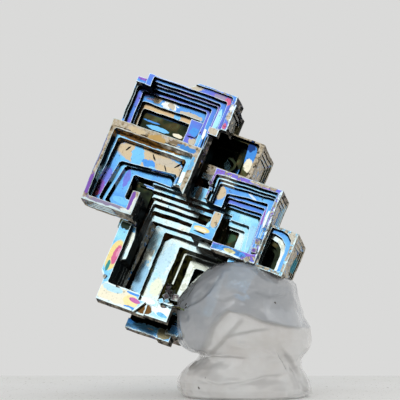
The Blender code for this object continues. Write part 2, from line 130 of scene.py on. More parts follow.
def lies_in(place, ranges):
    """Whether a place lies inside ranges of x, y and z."""
    return all(low < value < high for value, (low, high) in zip(place, ranges))


def main_axis(normal):
    """The lattice axis that a direction follows most."""
    return max(range(3), key=lambda axis: abs(normal[axis]))


print("lattice axes:", len(AXES))

# %% Sort the faces into film, riser and crust
FILM, RISER, CRUST = range(3)
# Ways are in tenths of a millimetre, and the last three are shares of a face's normal.
CLEAR_WAY = 125.0
PIT_WAY = 42.0
STANDOFF = 0.6
WALLS_OF_A_PIT = 3
FRONTAL = 0.6
SQUARE_ON = 0.9
SIDEWAYS = 0.5
# The left crystal's underside is crust too. It overhangs the great pit, whose terraces mirror it.
LEFT_UNDERSIDE = ((-FAR, -8), (-FAR, 14), (-FAR, -33))


def is_blocked(start, direction, way):
    """Whether a ray meets the solid within some way."""
    return solid_tree.ray_cast(start, direction, way)[0] is not None


def is_sunk(start, axis):
    """Whether a place just above a face has walls around it, as the floor of a pit has."""
    sides = [AXES[other] * sign for other in range(3) if other != axis for sign in (1, -1)]
    return sum(is_blocked(start, side, PIT_WAY) for side in sides) >= WALLS_OF_A_PIT


def kind_of(face):
    """What sort of surface a face is, from its direction and from what it looks at."""
    normal = face.normal
    start = face.calc_center_median() + normal * STANDOFF
    if abs(normal.y) > FRONTAL:
        blocked = is_blocked(start, normal, PIT_WAY)
        return RISER if blocked and abs(normal.y) > SQUARE_ON else FILM
    if normal.z < -SIDEWAYS and lies_in(start, LEFT_UNDERSIDE):
        return CRUST
    across = Vector((normal.x, 0, normal.z)).normalized()
    if is_blocked(start, across, CLEAR_WAY):
        return RISER
    faces_right_or_down = normal.x > SIDEWAYS or normal.z < -SIDEWAYS
    if faces_right_or_down and not is_sunk(start, main_axis(normal)):
        return CRUST
    return FILM


kinds = [kind_of(face) for face in skin.faces]
print("film, risers, crust:", [kinds.count(kind) for kind in range(3)])

# %% [markdown]
# The film value says how thick the oxide is, from 0 for bare metal, and near 1 it is painted shade: a
# pit too deep to shine is painted dark.
# Every terrace cooled for its own length of time, so the value is chosen by crystal and by depth.
# A second value, rough, says how much of a face is covered by beige flakes.

# %% Which crystal a place belongs to
CRYSTALS = ["left", "top", "right", "low_right", "back", "platform", "great", "foot"]
# Each crystal's ranges in x, y and z. A place belongs to the first entry that holds it.
REGIONS = [
    ("left", ((-FAR, 0), (-FAR, -1), ALL)),
    ("foot", (ALL, (30, FAR), (-FAR, -109))),
    ("low_right", ((86.3, FAR), ALL, (-FAR, 9))),
    ("right", ((12.8, FAR), (-FAR, 63), (8.5, 46))),
    ("right", ((37.5, FAR), ALL, (-39, 46))),
    ("top", ((-FAR, -21), ALL, (49.8, FAR))),
    ("top", ((-FAR, 18), (-FAR, 29), (49.8, FAR))),
    ("top", ((-FAR, 18), ALL, (92, FAR))),
    ("back", (ALL, (29, FAR), (41.5, FAR))),
    ("left", ((-FAR, -4.4), (-FAR, 40), (12.2, FAR))),
    ("left", ((-FAR, -45.5), (-FAR, 40), (-37, FAR))),
    ("left", (ALL, (-FAR, -1), ALL)),
    ("platform", (ALL, ALL, (11, FAR))),
    ("platform", ((5, FAR), (-FAR, 45), (-25, FAR))),
    ("great", (ALL, ALL, ALL)),
]


def crystal_at(place):
    """Which crystal of the cluster a place belongs to."""
    return next(crystal for crystal, ranges in REGIONS if lies_in(place, ranges))


face_crystals = [crystal_at(face.calc_center_median()) for face in skin.faces]
print("faces:", {crystal: face_crystals.count(crystal) for crystal in CRYSTALS})

# %% Film of the terraces
DEEPER = 99
# Film value of each terrace, as (depth up to, value) pairs. Values from 0.96 up are painted shade, in
# the deepest pits and over the crystal behind the others.
TERRACE_FILM = {
    "left": [(-20, 0.03), (-10, 0.68), (-2, 0.57), (5, 0.64), (12, 0.60), (20, 0.44), (DEEPER, 1.0)],
    "top": [
        (2, 0.45), (7, 0.40), (13, 0.50), (19, 0.38), (25, 0.52), (31, 0.42), (37, 0.55), (43, 0.02),
        (DEEPER, 1.0),
    ],
    "right": [
        (-6, 0.36), (-1, 0.70), (4, 0.62), (9, 0.56), (14, 0.50), (19, 0.44), (24, 0.60), (29, 0.74),
        (36, 0.78), (42, 0.84), (DEEPER, 1.0),
    ],
    "low_right": [(-2, 0.72), (4, 0.60), (9, 0.90), (DEEPER, 1.0)],
    "back": [(33, 0.98), (DEEPER, 1.0)],
    "platform": [(13, 0.72), (17, 0.64), (30, 0.72), (DEEPER, 0.97)],
    "great": [
        (4, 0.70), (8, 0.84), (12, 0.62), (17, 0.70), (23, 0.80), (29, 0.82), (35, 0.86), (41, 0.82),
        (47, 0.86), (54, 0.78), (64, 0.86), (76, 0.92), (86, 0.92), (DEEPER, 0.98),
    ],
    "foot": [(DEEPER, 0.60)],
}
# How rough the rim of each crystal is, as (depth up to, value).
RIM_ROUGH = {
    "left": (-20, 0.72), "top": (2, 0.44), "right": (-6, 0.47), "low_right": (-2, 0.54),
    "back": (34, 0.60), "platform": (DEEPER, 0.36), "great": (2, 0.34), "foot": (DEEPER, 0.32),
}
TERRACE_ROUGH = 0.3
# The film value that paints a face dark, as shade.
PAINTED_SHADE_FILM = 1.0
# The great crystal's bottom ledge runs into the wax and is painted dark, as shade. The terraces that
# the left crystal overhangs are painted paler, as painted light where the overhang darkens what they mirror.
SUNKEN_LEDGE = ((23, FAR), ALL, (-FAR, -100))
OVERHUNG = ((-FAR, -28), (4, FAR), (-FAR, -44))
OVERHUNG_PAINTED_LIGHT = 0.90


def terrace_film(place, crystal):
    """The film and rough values of a face that looks to the front."""
    # The sunken ledge is painted dark, as shade.
    if crystal == "great" and lies_in(place, SUNKEN_LEDGE):
        return PAINTED_SHADE_FILM, 0.0
    film = next(value for depth, value in TERRACE_FILM[crystal] if place.y <= depth or depth == DEEPER)
    # Painted light on the terraces under the overhang.
    if crystal == "great" and lies_in(place, OVERHUNG):
        film = OVERHUNG_PAINTED_LIGHT
    rim_depth, rim_rough = RIM_ROUGH[crystal]
    return film, rim_rough if place.y <= rim_depth else TERRACE_ROUGH


print("terraces:", sum(len(films) for films in TERRACE_FILM.values()))

# %% [markdown]
# The other sides of the cluster show in turns. Their steps get films in rotation, so that each step
# differs from the next. The right-hand sides are mostly flakes, and so are the chips at the corners.

# %% Film of the sides, tint of the risers, and tone and painted shade of the crust
SIDE_FILMS = [0.58, 0.44, 0.66, 0.30, 0.76, 0.52, 0.14, 0.62]
SIDE_STEP = 4.0
SIDE_SHIFT = 3
SIDE_ROUGH = 0.41
RIGHT_SIDE_ROUGH = 0.6
TOP_SIDE_ROUGH = 0.44
CHIP_ROUGH = 0.56
CHIP_TURN = 0.96
CLEAN_CHIPS = ((-FAR, -28), ALL, ALL)
# The crust's value for each crystal: partly its own tone, and for the top crystal's crust, which lies out of
# the light, painted shade.
CRUST_TONE_AND_SHADE = {"left": 0.62, "top": 0.36, "right": 0.55, "low_right": 0.72, "back": 0.66, "great": 0.45}
PLAIN_CRUST = 0.5
# The crust value painted dark as shade, on the left crystal's side that faces its neighbours.
PAINTED_SHADE_CRUST = 0.12
# Tint of the risers: 0 is black, then come brown, bottle green, olive and tarnished gold.
RISER_TINT_REGIONS = [
    (("left",), (ALL, (-FAR, -8), (36, FAR)), 1.0),
    (("great", "platform"), (ALL, (-FAR, 60), (-36, FAR)), 0.35),
    (("great",), ((-FAR, 8), (56, FAR), ALL), 0.7),
    (("right", "low_right"), (ALL, (22, FAR), ALL), 0.6),
]


def riser_tint(place, crystal):
    """The tint of a riser, or 0 where no region holds it."""
    for names, ranges, tint in RISER_TINT_REGIONS:
        if crystal in names and lies_in(place, ranges):
            return tint
    return 0.0


def side_film(place, crystal, axis, normal):
    """The film and rough values of a face that looks to a side, to the back, up or down."""
    # The top crystal's right-hand sides are painted dark, as shade.
    if axis == 0 and normal.x > 0:
        return (PAINTED_SHADE_FILM, TOP_SIDE_ROUGH) if crystal == "top" else (SIDE_FILMS[0], RIGHT_SIDE_ROUGH)
    step = round(place[axis] / SIDE_STEP) + SIDE_SHIFT * axis
    return SIDE_FILMS[step % len(SIDE_FILMS)], SIDE_ROUGH


def film_and_rough(face, kind, crystal):
    """The film and rough values of a face."""
    place, normal = face.calc_center_median(), face.normal
    if kind == RISER:
        return riser_tint(place, crystal), 0.0
    if kind == CRUST:
        # The left crystal's right-hand side lies in its neighbours' shade and is painted dark.
        shaded_by_neighbour = crystal == "left" and normal.x > SIDEWAYS
        return PAINTED_SHADE_CRUST if shaded_by_neighbour else CRUST_TONE_AND_SHADE.get(crystal, PLAIN_CRUST), 1.0
    axis = main_axis(normal)
    if axis != 1 or normal.y > 0:
        return side_film(place, crystal, axis, normal)
    film, rough = terrace_film(place, crystal)
    is_clean = crystal == "great" and (lies_in(place, CLEAN_CHIPS) or lies_in(place, SUNKEN_LEDGE))
    is_chip = abs(normal.y) < CHIP_TURN and not is_clean
    return film, CHIP_ROUGH if is_chip else rough


skin_values = [film_and_rough(*details) for details in zip(skin.faces, kinds, face_crystals)]
films = [film for film, _ in skin_values]
roughs = [rough for _, rough in skin_values]
film_slots = [CRYSTALS.index(crystal) for crystal in face_crystals]
slots = [own if kind == FILM else len(CRYSTALS) - 1 + kind for own, kind in zip(film_slots, kinds)]
print("film values from", round(min(films), 2), "to", round(max(films), 2))

# %% [markdown]
# Now the space is bent, mostly along the terraces and hardly in depth, so that their edges wander
# and their faces stay flat enough to mirror. The noise takes its seed from the clock unless it is
# given one, so it is given one here. The heel of the great crystal, which lies buried in the wax, is
# drawn up a little so that it doesn't poke out of the wax. The crust is also pitted, by cells of
# noise that only push inwards, and the whole is kept in the box of its solid.

# %% Bend the space
NOISE_SEED = 7
BEND_WIDE = Vector((0.6, 0.16, 0.6))
BEND_WIDE_SPAN = 16.0
BEND_FINE = Vector((0.4, 0.03, 0.4))
BEND_FINE_SPAN = 5.0
BEND_FINE_SHIFT = Vector((7, 3, 1))
HEEL = ((26, FAR), (50, FAR), (-FAR, -117))
HEEL_LEFT = 0.06
PIT_DEPTH = 2.2
PIT_SPAN = 7.0
PIT_SLOPE = 1.6

noise.seed_set(NOISE_SEED)


def bent(place):
    """Where a place goes when its space is bent by noise."""
    if lies_in(place, HEEL):
        heel_top = HEEL[2][1]
        place = Vector((place.x, place.y, heel_top + HEEL_LEFT * (place.z - heel_top)))
    wide = noise.noise_vector(place / BEND_WIDE_SPAN) * BEND_WIDE
    fine = noise.noise_vector(place / BEND_FINE_SPAN + BEND_FINE_SHIFT) * BEND_FINE
    return place + wide + fine


def pitting(place):
    """How far the crust sinks at a place."""
    nearest = noise.voronoi(place / PIT_SPAN)[0][0]
    return PIT_DEPTH * min(1.0, nearest * PIT_SLOPE)


def crust_normals(bm):
    """For each point that lies in crust alone, the normal of one of its faces."""
    around = {}
    for face, kind in zip(bm.faces, kinds):
        for vertex in face.verts:
            around.setdefault(vertex.index, []).append((kind == CRUST, face.normal))
    return {index: faces[0][1] for index, faces in around.items() if all(crusted for crusted, _ in faces)}


print("bend of a corner:", [round(v, 3) for v in bent(Vector((10, 10, 10))) - Vector((10, 10, 10))])

# %% Write the mesh
MARGIN = 0.001 * MM


def write_mesh(bm, name):
    """The bent mesh in the row's frame, with its lattice place and film value kept for the finishes."""
    mesh = bpy.data.meshes.new(name)
    bm.to_mesh(mesh)
    places = [vertex.co.copy() for vertex in bm.verts]
    inwards = crust_normals(bm)
    for vertex, place in zip(mesh.vertices, places):
        target = bent(place)
        if vertex.index in inwards:
            target -= inwards[vertex.index] * pitting(place)
        target = to_world @ target
        limits = zip(target, crystal_low, crystal_high)
        vertex.co = [min(max(value, low + MARGIN), high - MARGIN) for value, low, high in limits]
    lattice = mesh.attributes.new("lattice", "FLOAT_VECTOR", "POINT")
    lattice.data.foreach_set("vector", [c for place in places for c in place])
    for label, values in (("film", films), ("rough", roughs)):
        mesh.attributes.new(label, "FLOAT", "FACE").data.foreach_set("value", values)
    mesh.polygons.foreach_set("material_index", slots)
    mesh.update()
    return mesh


skin.verts.index_update()
cluster = bpy.data.objects.new("bismuth_cluster", write_mesh(skin, "bismuth_cluster"))
bpy.context.scene.collection.objects.link(cluster)
skin.free()
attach(cluster, "root")
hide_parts("bismuth_crystal")
print("crystal mesh:", len(cluster.data.vertices), "points")

# %% [markdown]
# ## Finishes
#
# Colours are written as the sRGB hex values that a paint chart would give, and turned to the linear
# values that the shader wants by one function. A second small function adds a node with its settings
# and its links, so that each finish reads from top to bottom in the order of its layers.

# %% Helpers for colours and nodes
def linear(hex_value):
    """An sRGB hex colour as linear RGBA."""
    channels = [int(hex_value[i:i + 2], 16) / 255 for i in (1, 3, 5)]
    return tuple(c / 12.92 if c <= 0.04045 else ((c + 0.055) / 1.055) ** 2.4 for c in channels) + (1.0,)


def set_stops(elements, stops):
    """Gives a colour ramp its stops, each a position and a hex colour."""
    while len(elements) > 1:
        elements.remove(elements[-1])
    elements[0].position = stops[0][0]
    elements[0].color = linear(stops[0][1])
    for position, colour in stops[1:]:
        elements.new(position).color = linear(colour)


def add(tree, kind, settings=None, links=None):
    """Adds a node, sets its properties, stops and inputs, and links other nodes' outputs to its inputs."""
    node = tree.nodes.new(kind)
    for name, value in (settings or {}).items():
        if name == "stops":
            set_stops(node.color_ramp.elements, value)
        elif isinstance(name, int) or name in node.inputs:
            node.inputs[name].default_value = value
        else:
            setattr(node, name, value)
    for name, output in (links or {}).items():
        tree.links.new(output, node.inputs[name])
    return node


def new_material(name):
    """A material with its tree and its Principled shader."""
    made = bpy.data.materials.new(name)
    made.use_nodes = True
    return made, made.node_tree, made.node_tree.nodes["Principled BSDF"]


print("a middle grey in linear light:", round(linear("#808080")[0], 3))

# %% [markdown]
# The oxide film gives interference colours: gold, magenta, violet, blue, sky blue, and then nearly
# white as it thickens. A thin-film setting could work them out from a thickness, but with a ramp
# each colour can be matched by itself. The mesh's film value picks a place on the ramp, and a slow
# cloud and a finer streak of noise thicken and thin it within a terrace. Only the deepest terraces,
# which mirror their own pit, are painted dark green and brown instead, as painted shade. Each noise
# is given by how many of its lumps lie along a millimetre, since the lattice counts in tenths of one.

# %% Colour of the film
PER_MM = TENTH / MM
RGBA = {"data_type": "RGBA"}
FILM_COLOURS = [
    (0.00, "#C9AE88"),
    (0.08, "#D4BC90"),
    (0.14, "#E2CE92"),
    (0.22, "#CC7898"),
    (0.30, "#8A66C4"),
    (0.38, "#6C72D4"),
    (0.46, "#5488DC"),
    (0.56, "#5C9EE4"),
    (0.66, "#74BEF0"),
    (0.76, "#9EDCF4"),
    (0.86, "#D2EAEE"),
    (0.92, "#E6EEE2"),
    (0.96, "#3A4630"),
    (1.00, "#0B120E"),
]
# Painted shade of the deepest pits: near-black, bottle green, olive and brown.
PIT_SHADE_COLOURS = [(0.35, "#0D120E"), (0.52, "#26301F"), (0.62, "#463E24"), (0.72, "#4C5C3C")]
CLOUD_NOISE = {"Scale": 0.7 * PER_MM, "Detail": 2.0, "Roughness": 0.5}
STREAK_NOISE = {"Scale": 5.0 * PER_MM, "Detail": 2.0, "Roughness": 0.6}
CLOUD_DEPTH = 0.30
STREAK_DEPTH = 0.10
PALEST = 0.93
# The film value from which a terrace is painted dark, as shade.
PAINTED_SHADE_FROM = 0.955


def film_colour(tree, lattice, film):
    """The colour of the whole film, and 1 where a deep terrace is painted dark as shade."""
    cloud = add(tree, "ShaderNodeTexNoise", CLOUD_NOISE, {"Vector": lattice}).outputs["Fac"]
    streak = add(tree, "ShaderNodeTexNoise", STREAK_NOISE, {"Vector": lattice}).outputs["Fac"]
    clouding = {"operation": "MULTIPLY_ADD", 1: CLOUD_DEPTH}
    clouded = add(tree, "ShaderNodeMath", clouding, {0: cloud, 2: film}).outputs[0]
    streaking = {"operation": "MULTIPLY_ADD", 1: STREAK_DEPTH}
    streaked = add(tree, "ShaderNodeMath", streaking, {0: streak, 2: clouded}).outputs[0]
    middle = 0.5 * (CLOUD_DEPTH + STREAK_DEPTH)
    level = add(tree, "ShaderNodeMath", {"operation": "SUBTRACT", 1: middle}, {0: streaked}).outputs[0]
    in_painted_shade = add(tree, "ShaderNodeMath", {"operation": "GREATER_THAN", 1: PAINTED_SHADE_FROM}, {0: film}).outputs[0]
    pale = add(tree, "ShaderNodeMath", {"operation": "MINIMUM", 1: PALEST}, {0: level}).outputs[0]
    bright = add(tree, "ShaderNodeValToRGB", {"stops": FILM_COLOURS}, {"Fac": pale}).outputs["Color"]
    # The deepest pits are painted dark, as shade.
    pits = add(tree, "ShaderNodeValToRGB", {"stops": PIT_SHADE_COLOURS}, {"Fac": cloud}).outputs["Color"]
    layers = {"Factor": in_painted_shade, "A": bright, "B": pits}
    return add(tree, "ShaderNodeMix", RGBA, layers).outputs["Result"], in_painted_shade


print("film colours:", len(FILM_COLOURS))

# %% [markdown]
# Where the skin tore as the metal drained, flakes of bare beige metal lie on it with dark cracks
# between them. They could be modelled one by one, but they are only hundredths of a millimetre
# thick, so a noise cuts them out. The mesh's rough value says how much of a face they cover.

# %% Colour of the flakes
FLAKE_COLOURS = [
    (0.30, "#2A2018"), (0.36, "#84725A"), (0.42, "#B3A48A"), (0.52, "#C6B9A0"), (0.62, "#D6CEBE"),
    (0.70, "#A49CB4"),
]
FLAKE_NOISE = {"Scale": 3.0 * PER_MM, "Detail": 4.0, "Roughness": 0.6}
TEAR_NOISE = {"Scale": 2.4 * PER_MM, "Detail": 3.0, "Roughness": 0.6}
TEAR_RANGE = {"From Min": 0.98, "From Max": 1.04}


def torn_colour(tree, lattice, rough, colour):
    """The colour with flakes laid over it, the flakes' pattern, and 1 where they lie."""
    flake = add(tree, "ShaderNodeTexNoise", FLAKE_NOISE, {"Vector": lattice}).outputs["Fac"]
    tear = add(tree, "ShaderNodeTexNoise", TEAR_NOISE, {"Vector": lattice}).outputs["Fac"]
    torn = add(tree, "ShaderNodeMath", {"operation": "ADD"}, {0: tear, 1: rough}).outputs[0]
    share = add(tree, "ShaderNodeMapRange", TEAR_RANGE, {"Value": torn}).outputs[0]
    flakes = add(tree, "ShaderNodeValToRGB", {"stops": FLAKE_COLOURS}, {"Fac": flake}).outputs["Color"]
    layers = {"Factor": share, "A": colour, "B": flakes}
    return add(tree, "ShaderNodeMix", RGBA, layers).outputs["Result"], flake, share


print("flake colours:", len(FLAKE_COLOURS))

# %% [markdown]
# Some terraces carry marks of their own: a gold lens, a ring of magenta, a torn tan patch. They could
# be painted in an image, but that would need the mesh unfolded. Instead each one is drawn on a front
# view of the cluster, across and up in tenths of a millimetre. A ray along that view's axis finds the
# terrace that the mark lies on, and the mark colours an ellipsoid there, so it stays on its terrace.

# %% Marks on the terraces
TAN, BEIGE, CREAM, GOLD = "#C6B597", "#BFB6A4", "#E4E0CA", "#E2D08E"
MAGENTA, VIOLET, PERIWINKLE = "#C9688E", "#8A60BC", "#6F7CD6"
BLUE, SKY, CYAN, WHITE = "#4E94E0", "#76BEF0", "#A4E0F2", "#EEF6F2"
MAUVE, DARK, BROWN = "#9A90AE", "#0C0F0D", "#6B4C26"

Mark = namedtuple("Mark", "across up half_across half_up turn colour fray half_depth", defaults=(2.6,))
MARKS = [
    # The left crystal's wide terrace: torn tan skin with blue left in patches, and dark scratches.
    Mark(-56, 30, 37, 11, 4, TAN, 0.3),
    Mark(-38, 33, 12, 4, -6, BEIGE, 0.8),
    Mark(-69.5, 29, 6.5, 11, -12, SKY, 0.7),
    Mark(-55, 25, 8, 5, 24, BLUE, 0.9),
    Mark(-50, 22, 5, 2.5, 10, SKY, 0.7),
    Mark(-81, 34, 0.9, 3.5, 30, DARK, 0.6),
    Mark(-53, 34, 0.8, 3.5, -40, DARK, 0.6),
    Mark(-27, 34, 1.0, 4.5, 40, DARK, 0.6),
    Mark(-38, 27, 0.6, 4, -35, DARK, 0.6),
    # Its slanted bar, from blue at the top to violet at the bottom.
    Mark(-91, 0, 6, 9, 0, PERIWINKLE, 0.4),
    Mark(-94, -13, 6, 8, 0, VIOLET, 0.4),
    Mark(-96, -19, 4, 4, 0, MAGENTA, 0.5),
    # Its hook and its rims.
    Mark(-67, -19, 10, 3.5, 0, SKY, 0.3),
    Mark(-71, 4, 3, 10, 0, PERIWINKLE, 0.8),
    Mark(-104.5, -12, 3, 13, 0, VIOLET, 1.4),
    Mark(-68, 45.5, 34, 2.6, 0, BROWN, 0.6),
    Mark(-56, 49.3, 44, 2.4, 0, "#7E5A2A", 1.0),
    Mark(-62, 51.8, 40, 0.55, 0, DARK, 0.8),
    Mark(-102.6, 8, 0.7, 37, 0, DARK, 0.8),
    Mark(-106.4, 20, 0.8, 22, 0, "#7F7BA8", 1.0),
    Mark(-14.5, 8, 0.7, 26, 0, "#4C4A50", 1.2),
    Mark(-19.5, 4, 1.6, 20, 0, SKY, 1.4),
    Mark(-40, 46, 14, 2.2, 0, "#8A6428", 0.9),
    Mark(-80, 54, 9, 3, 0, "#DCC9A4", 1.0),
    Mark(-58, 53, 10, 3.2, 0, "#C9A76A", 1.2),
    Mark(-38, 55, 7, 2, 0, "#8A7A62", 1.4),
    Mark(-90, 40, 1.6, 7, 10, "#5A7FA8", 0.8),
    Mark(-25, 53, 11, 3, 0, BLUE, 1.6),
    Mark(-80, -27, 22, 4, 0, MAUVE, 1.4),
    Mark(-60, -27, 5, 2, 0, WHITE, 1.0),
    Mark(-58, -15, 2.5, 10, 0, VIOLET, 0.8),
    Mark(-55, -20, 1.4, 9, 0, WHITE, 0.8),
    Mark(-16, 40, 4, 7, 0, SKY, 1.2),
    Mark(-18, 24, 3, 6, 0, WHITE, 1.2),
    # The top crystal.
    Mark(-98, 82, 2.8, 24, 0, DARK, 1.2, 4),
    Mark(-70, 68, 9, 0.9, 0, BLUE, 0.3, 12),
    Mark(-61, 63, 12, 2.4, 0, SKY, 0.4, 12),
    Mark(-39, 63, 5.5, 2, 0, CREAM, 0.5, 12),
    Mark(-58, 75.5, 26, 0.8, 0, "#2C4A6C", 0.6, 12),
    Mark(-20, 70, 0.7, 9, 25, DARK, 0.8),
    Mark(-26, 66, 5, 0.7, 0, DARK, 0.8),
    Mark(-13, 64, 0.8, 7, 0, DARK, 0.8),
    Mark(-95, 108, 8, 3, 0, VIOLET, 0.4, 6),
    Mark(-84, 94, 6, 1.6, -18, VIOLET, 0.7),
    Mark(-79, 90, 5, 1.2, -12, MAUVE, 0.7),
    Mark(-73, 92, 4, 5, 20, TAN, 0.6),
    Mark(-59, 91.5, 8, 5, 0, WHITE, 1.2),
    Mark(-57, 90, 4, 3, 30, BEIGE, 0.9),
    Mark(-63, 95, 3.5, 2, -20, DARK, 0.9),
    Mark(-34, 87, 14, 2.4, 0, BEIGE, 0.9),
    Mark(-86, 81, 3.5, 4, 0, BLUE, 0.6),
    Mark(-47, 81, 3.5, 3.5, 0, SKY, 0.6),
    Mark(-41, 117, 8, 4, 0, BEIGE, 0.9),
    Mark(-14, 115, 7, 2.5, 0, MAUVE, 0.8),
    Mark(-4.5, 113, 3.5, 4, 0, MAGENTA, 0.8),
    Mark(1.5, 88, 1.8, 3.5, 0, MAGENTA, 0.6),
    Mark(2, 99, 2, 5, 0, BEIGE, 0.9),
    Mark(1.5, 108, 2, 4, 0, WHITE, 0.9),
    Mark(-7.5, 90, 2.6, 13, 0, CYAN, 0.5),
    Mark(-25, 72, 5, 4.5, 0, BLUE, 0.8),
    Mark(-18, 66, 4.5, 5.5, 0, SKY, 0.8),
    Mark(-22, 62, 5, 3.5, 0, BEIGE, 0.9),
    Mark(-15, 74, 1.6, 6, 0, WHITE, 0.8),
    Mark(-7, 79, 5.5, 4, 0, BEIGE, 1.0),
    # The platform, its gold lens and its column.
    Mark(30, -5, 4, 10, 0, TAN, 0.4),
    Mark(21, -19.6, 8.5, 3.0, 0, GOLD, 0.2),
    Mark(20, -20.2, 6.5, 1.7, 0, CREAM, 0.2),
    Mark(20, -23.2, 6.5, 0.8, 0, DARK, 0.3),
    Mark(26, 3, 5, 2, 0, BROWN, 0.5),
    Mark(3.5, 15, 2.4, 8, 0, "#9C968A", 0.3),
    Mark(6, 33.5, 5.5, 2.6, 0, WHITE, 1.2),
    Mark(12, 31, 1.6, 10, 0, VIOLET, 0.7),
    Mark(14.5, 22, 2.6, 5.5, 0, BLUE, 0.7),
    # The great crystal's left rim: bottle green, blue, then a ring of gold around magenta.
    Mark(-50, -40, 9, 5.5, -20, "#26352C", 0.5, 8),
    Mark(-52.5, -74, 6.8, 17, 3, GOLD, 0.25, 4),
    Mark(-54.5, -86, 1.8, 6, 0, "#3C8C8C", 0.4, 4),
    Mark(-50.5, -73, 3.8, 10.5, 3, MAGENTA, 0.3, 4),
    Mark(-49.8, -70, 1.6, 5, 3, "#D890AC", 0.4, 4),
    # Its bottom rim: cream with a pale blue cloud, and a magenta lens in gold.
    Mark(-34, -113, 24, 11, 0, CREAM, 0.3, 3),
    Mark(-40, -107, 11, 3.6, 0, "#B2DAEA", 0.5, 3),
    Mark(-18.5, -113, 8, 6, 0, "#F0DDA4", 0.3, 3),
    Mark(-15, -111, 6.2, 2.4, 8, "#BE6CA8", 0.2, 3),
    Mark(-18.5, -105, 7, 1.4, 0, BLUE, 0.5, 3),
    Mark(-17.5, -119.6, 6.5, 1.6, 0, BLUE, 0.4, 3),
    Mark(-3, -115, 8.5, 6.5, 0, BROWN, 0.4, 3),
    Mark(-3, -107, 9, 3, 0, WHITE, 0.4, 3),
    Mark(14, -112, 10, 5, 0, WHITE, 0.6),
    Mark(16, -116, 6, 2, 10, SKY, 0.8),
    Mark(12, -93, 13, 9, 0, "#857A80", 1.2, 9),
    Mark(20, -102, 2, 2, 0, GOLD, 0.2, 5),
    # Its long terraces.
    Mark(-18.5, -88, 6, 18, 0, "#98C8E6", 0.8),
    Mark(-1.5, -62, 6, 17, 8, "#BEE0F0", 0.9),
    Mark(0.5, -92, 6, 9, 0, "#E2EAD4", 0.8),
    Mark(12, 4.6, 15, 2.2, 0, CYAN, 0.5),
    # The foot.
    Mark(9, -131, 17, 4.5, 0, "#74C6F6", 0.4, 6),
    Mark(26, -133, 7, 7, 0, "#8A8468", 0.9, 6),
    Mark(11.5, -134, 3.8, 0.9, 0, CREAM, 0.3),
    # The right crystal.
    Mark(25, 22, 5, 7, 0, TAN, 0.6),
    Mark(56, 29, 6, 1.3, 25, "#C8DAF0", 0.5),
    Mark(75, 14, 1.5, 10, 0, VIOLET, 0.5),
    Mark(78, 12, 1.4, 9, 0, WHITE, 0.6),
    Mark(60, 44, 12, 2, 0, BEIGE, 1.4),
    Mark(55, -31, 18, 4, 0, BLUE, 0.4),
    Mark(56, -31, 6.5, 2.2, 0, "#D8D2A0", 0.2),
    Mark(57, -33.4, 5, 0.8, 0, DARK, 0.3),
    Mark(70, -10, 4, 12, 0, "#98CCE8", 0.6),
    Mark(50, -18, 7, 6, 0, "#35513A", 0.6, 9),
    Mark(80, -2, 4, 8, 0, BLUE, 1.6),
    # The crystal behind, painted black as shade, but for one blue terrace that pales downwards, and the
    # crescent.
    Mark(38.5, 68, 6.5, 12.5, -8, "#4489D6", 0.4, 14),
    Mark(36, 77, 4, 5, 20, "#1C3C78", 0.8, 14),
    Mark(40, 58, 4.4, 7, -8, CREAM, 0.7, 14),
    Mark(24, 52, 7, 8, 0, CYAN, 0.4, 5),
    Mark(33, 48, 3, 3, 0, BLUE, 0.5, 5),
    # The low right crystal.
    Mark(109, 2, 7, 6, 0, "#DCD8C8", 1.0, 3),
    Mark(107, -24, 2, 6, 0, WHITE, 0.4, 3),
    Mark(123, -24, 4, 8, 0, "#3E8A9A", 1.2, 6),
]
FRONT_AXIS = Vector((-0.254, 1, 0.233))
FAR_AHEAD = 200.0


def place_of(mark):
    """Where a mark lies on the solid, in lattice axes."""
    start = Vector((mark.across, 0, mark.up)) - FRONT_AXIS * FAR_AHEAD
    hit = solid_tree.ray_cast(start, FRONT_AXIS.normalized())[0]
    return hit if hit is not None else Vector((mark.across, 0, mark.up))


marks_of = {crystal: [] for crystal in CRYSTALS}
for mark in MARKS:
    marks_of[crystal_at(place_of(mark))].append(mark)
print("marks:", {crystal: len(marks) for crystal, marks in marks_of.items()})

# %% [markdown]
# A mark's edge is frayed by a noise, as the edge of a torn skin is, and the later marks lie on the
# earlier ones. Each crystal's material only carries its own marks, which keeps each one small.

# %% Colour of the marks
FRAY_NOISE = {"Scale": 3.3 * PER_MM, "Detail": 4.0, "Roughness": 0.6}
FRAY_SPREAD = {"operation": "MULTIPLY_ADD", 1: 1.5, 2: -0.75}
MARK_SOFTNESS = 0.06
MARK_EDGE = {"From Min": 1 + MARK_SOFTNESS, "From Max": 1 - MARK_SOFTNESS}


def mark_mask(tree, lattice, fray, mark):
    """1 inside the mark's ellipsoid and 0 outside, with a frayed edge."""
    settings = {
        "vector_type": "TEXTURE",
        "Location": place_of(mark),
        "Rotation": (0, radians(mark.turn), 0),
        "Scale": (mark.half_across, mark.half_depth, mark.half_up),
    }
    placed = add(tree, "ShaderNodeMapping", settings, {"Vector": lattice}).outputs[0]
    reach = add(tree, "ShaderNodeVectorMath", {"operation": "LENGTH"}, {0: placed}).outputs["Value"]
    fraying = {"operation": "MULTIPLY_ADD", 1: mark.fray}
    frayed = add(tree, "ShaderNodeMath", fraying, {0: fray, 2: reach}).outputs[0]
    return add(tree, "ShaderNodeMapRange", MARK_EDGE, {"Value": frayed}).outputs[0]


def marked_colour(tree, lattice, fray, crystal, colour):
    """The colour with a crystal's marks laid over it."""
    for mark in marks_of[crystal]:
        mask = mark_mask(tree, lattice, fray, mark)
        paint = {"data_type": "RGBA", "B": linear(mark.colour)}
        colour = add(tree, "ShaderNodeMix", paint, {"Factor": mask, "A": colour}).outputs["Result"]
    return colour


print("most marks on a crystal:", max(len(marks) for marks in marks_of.values()))
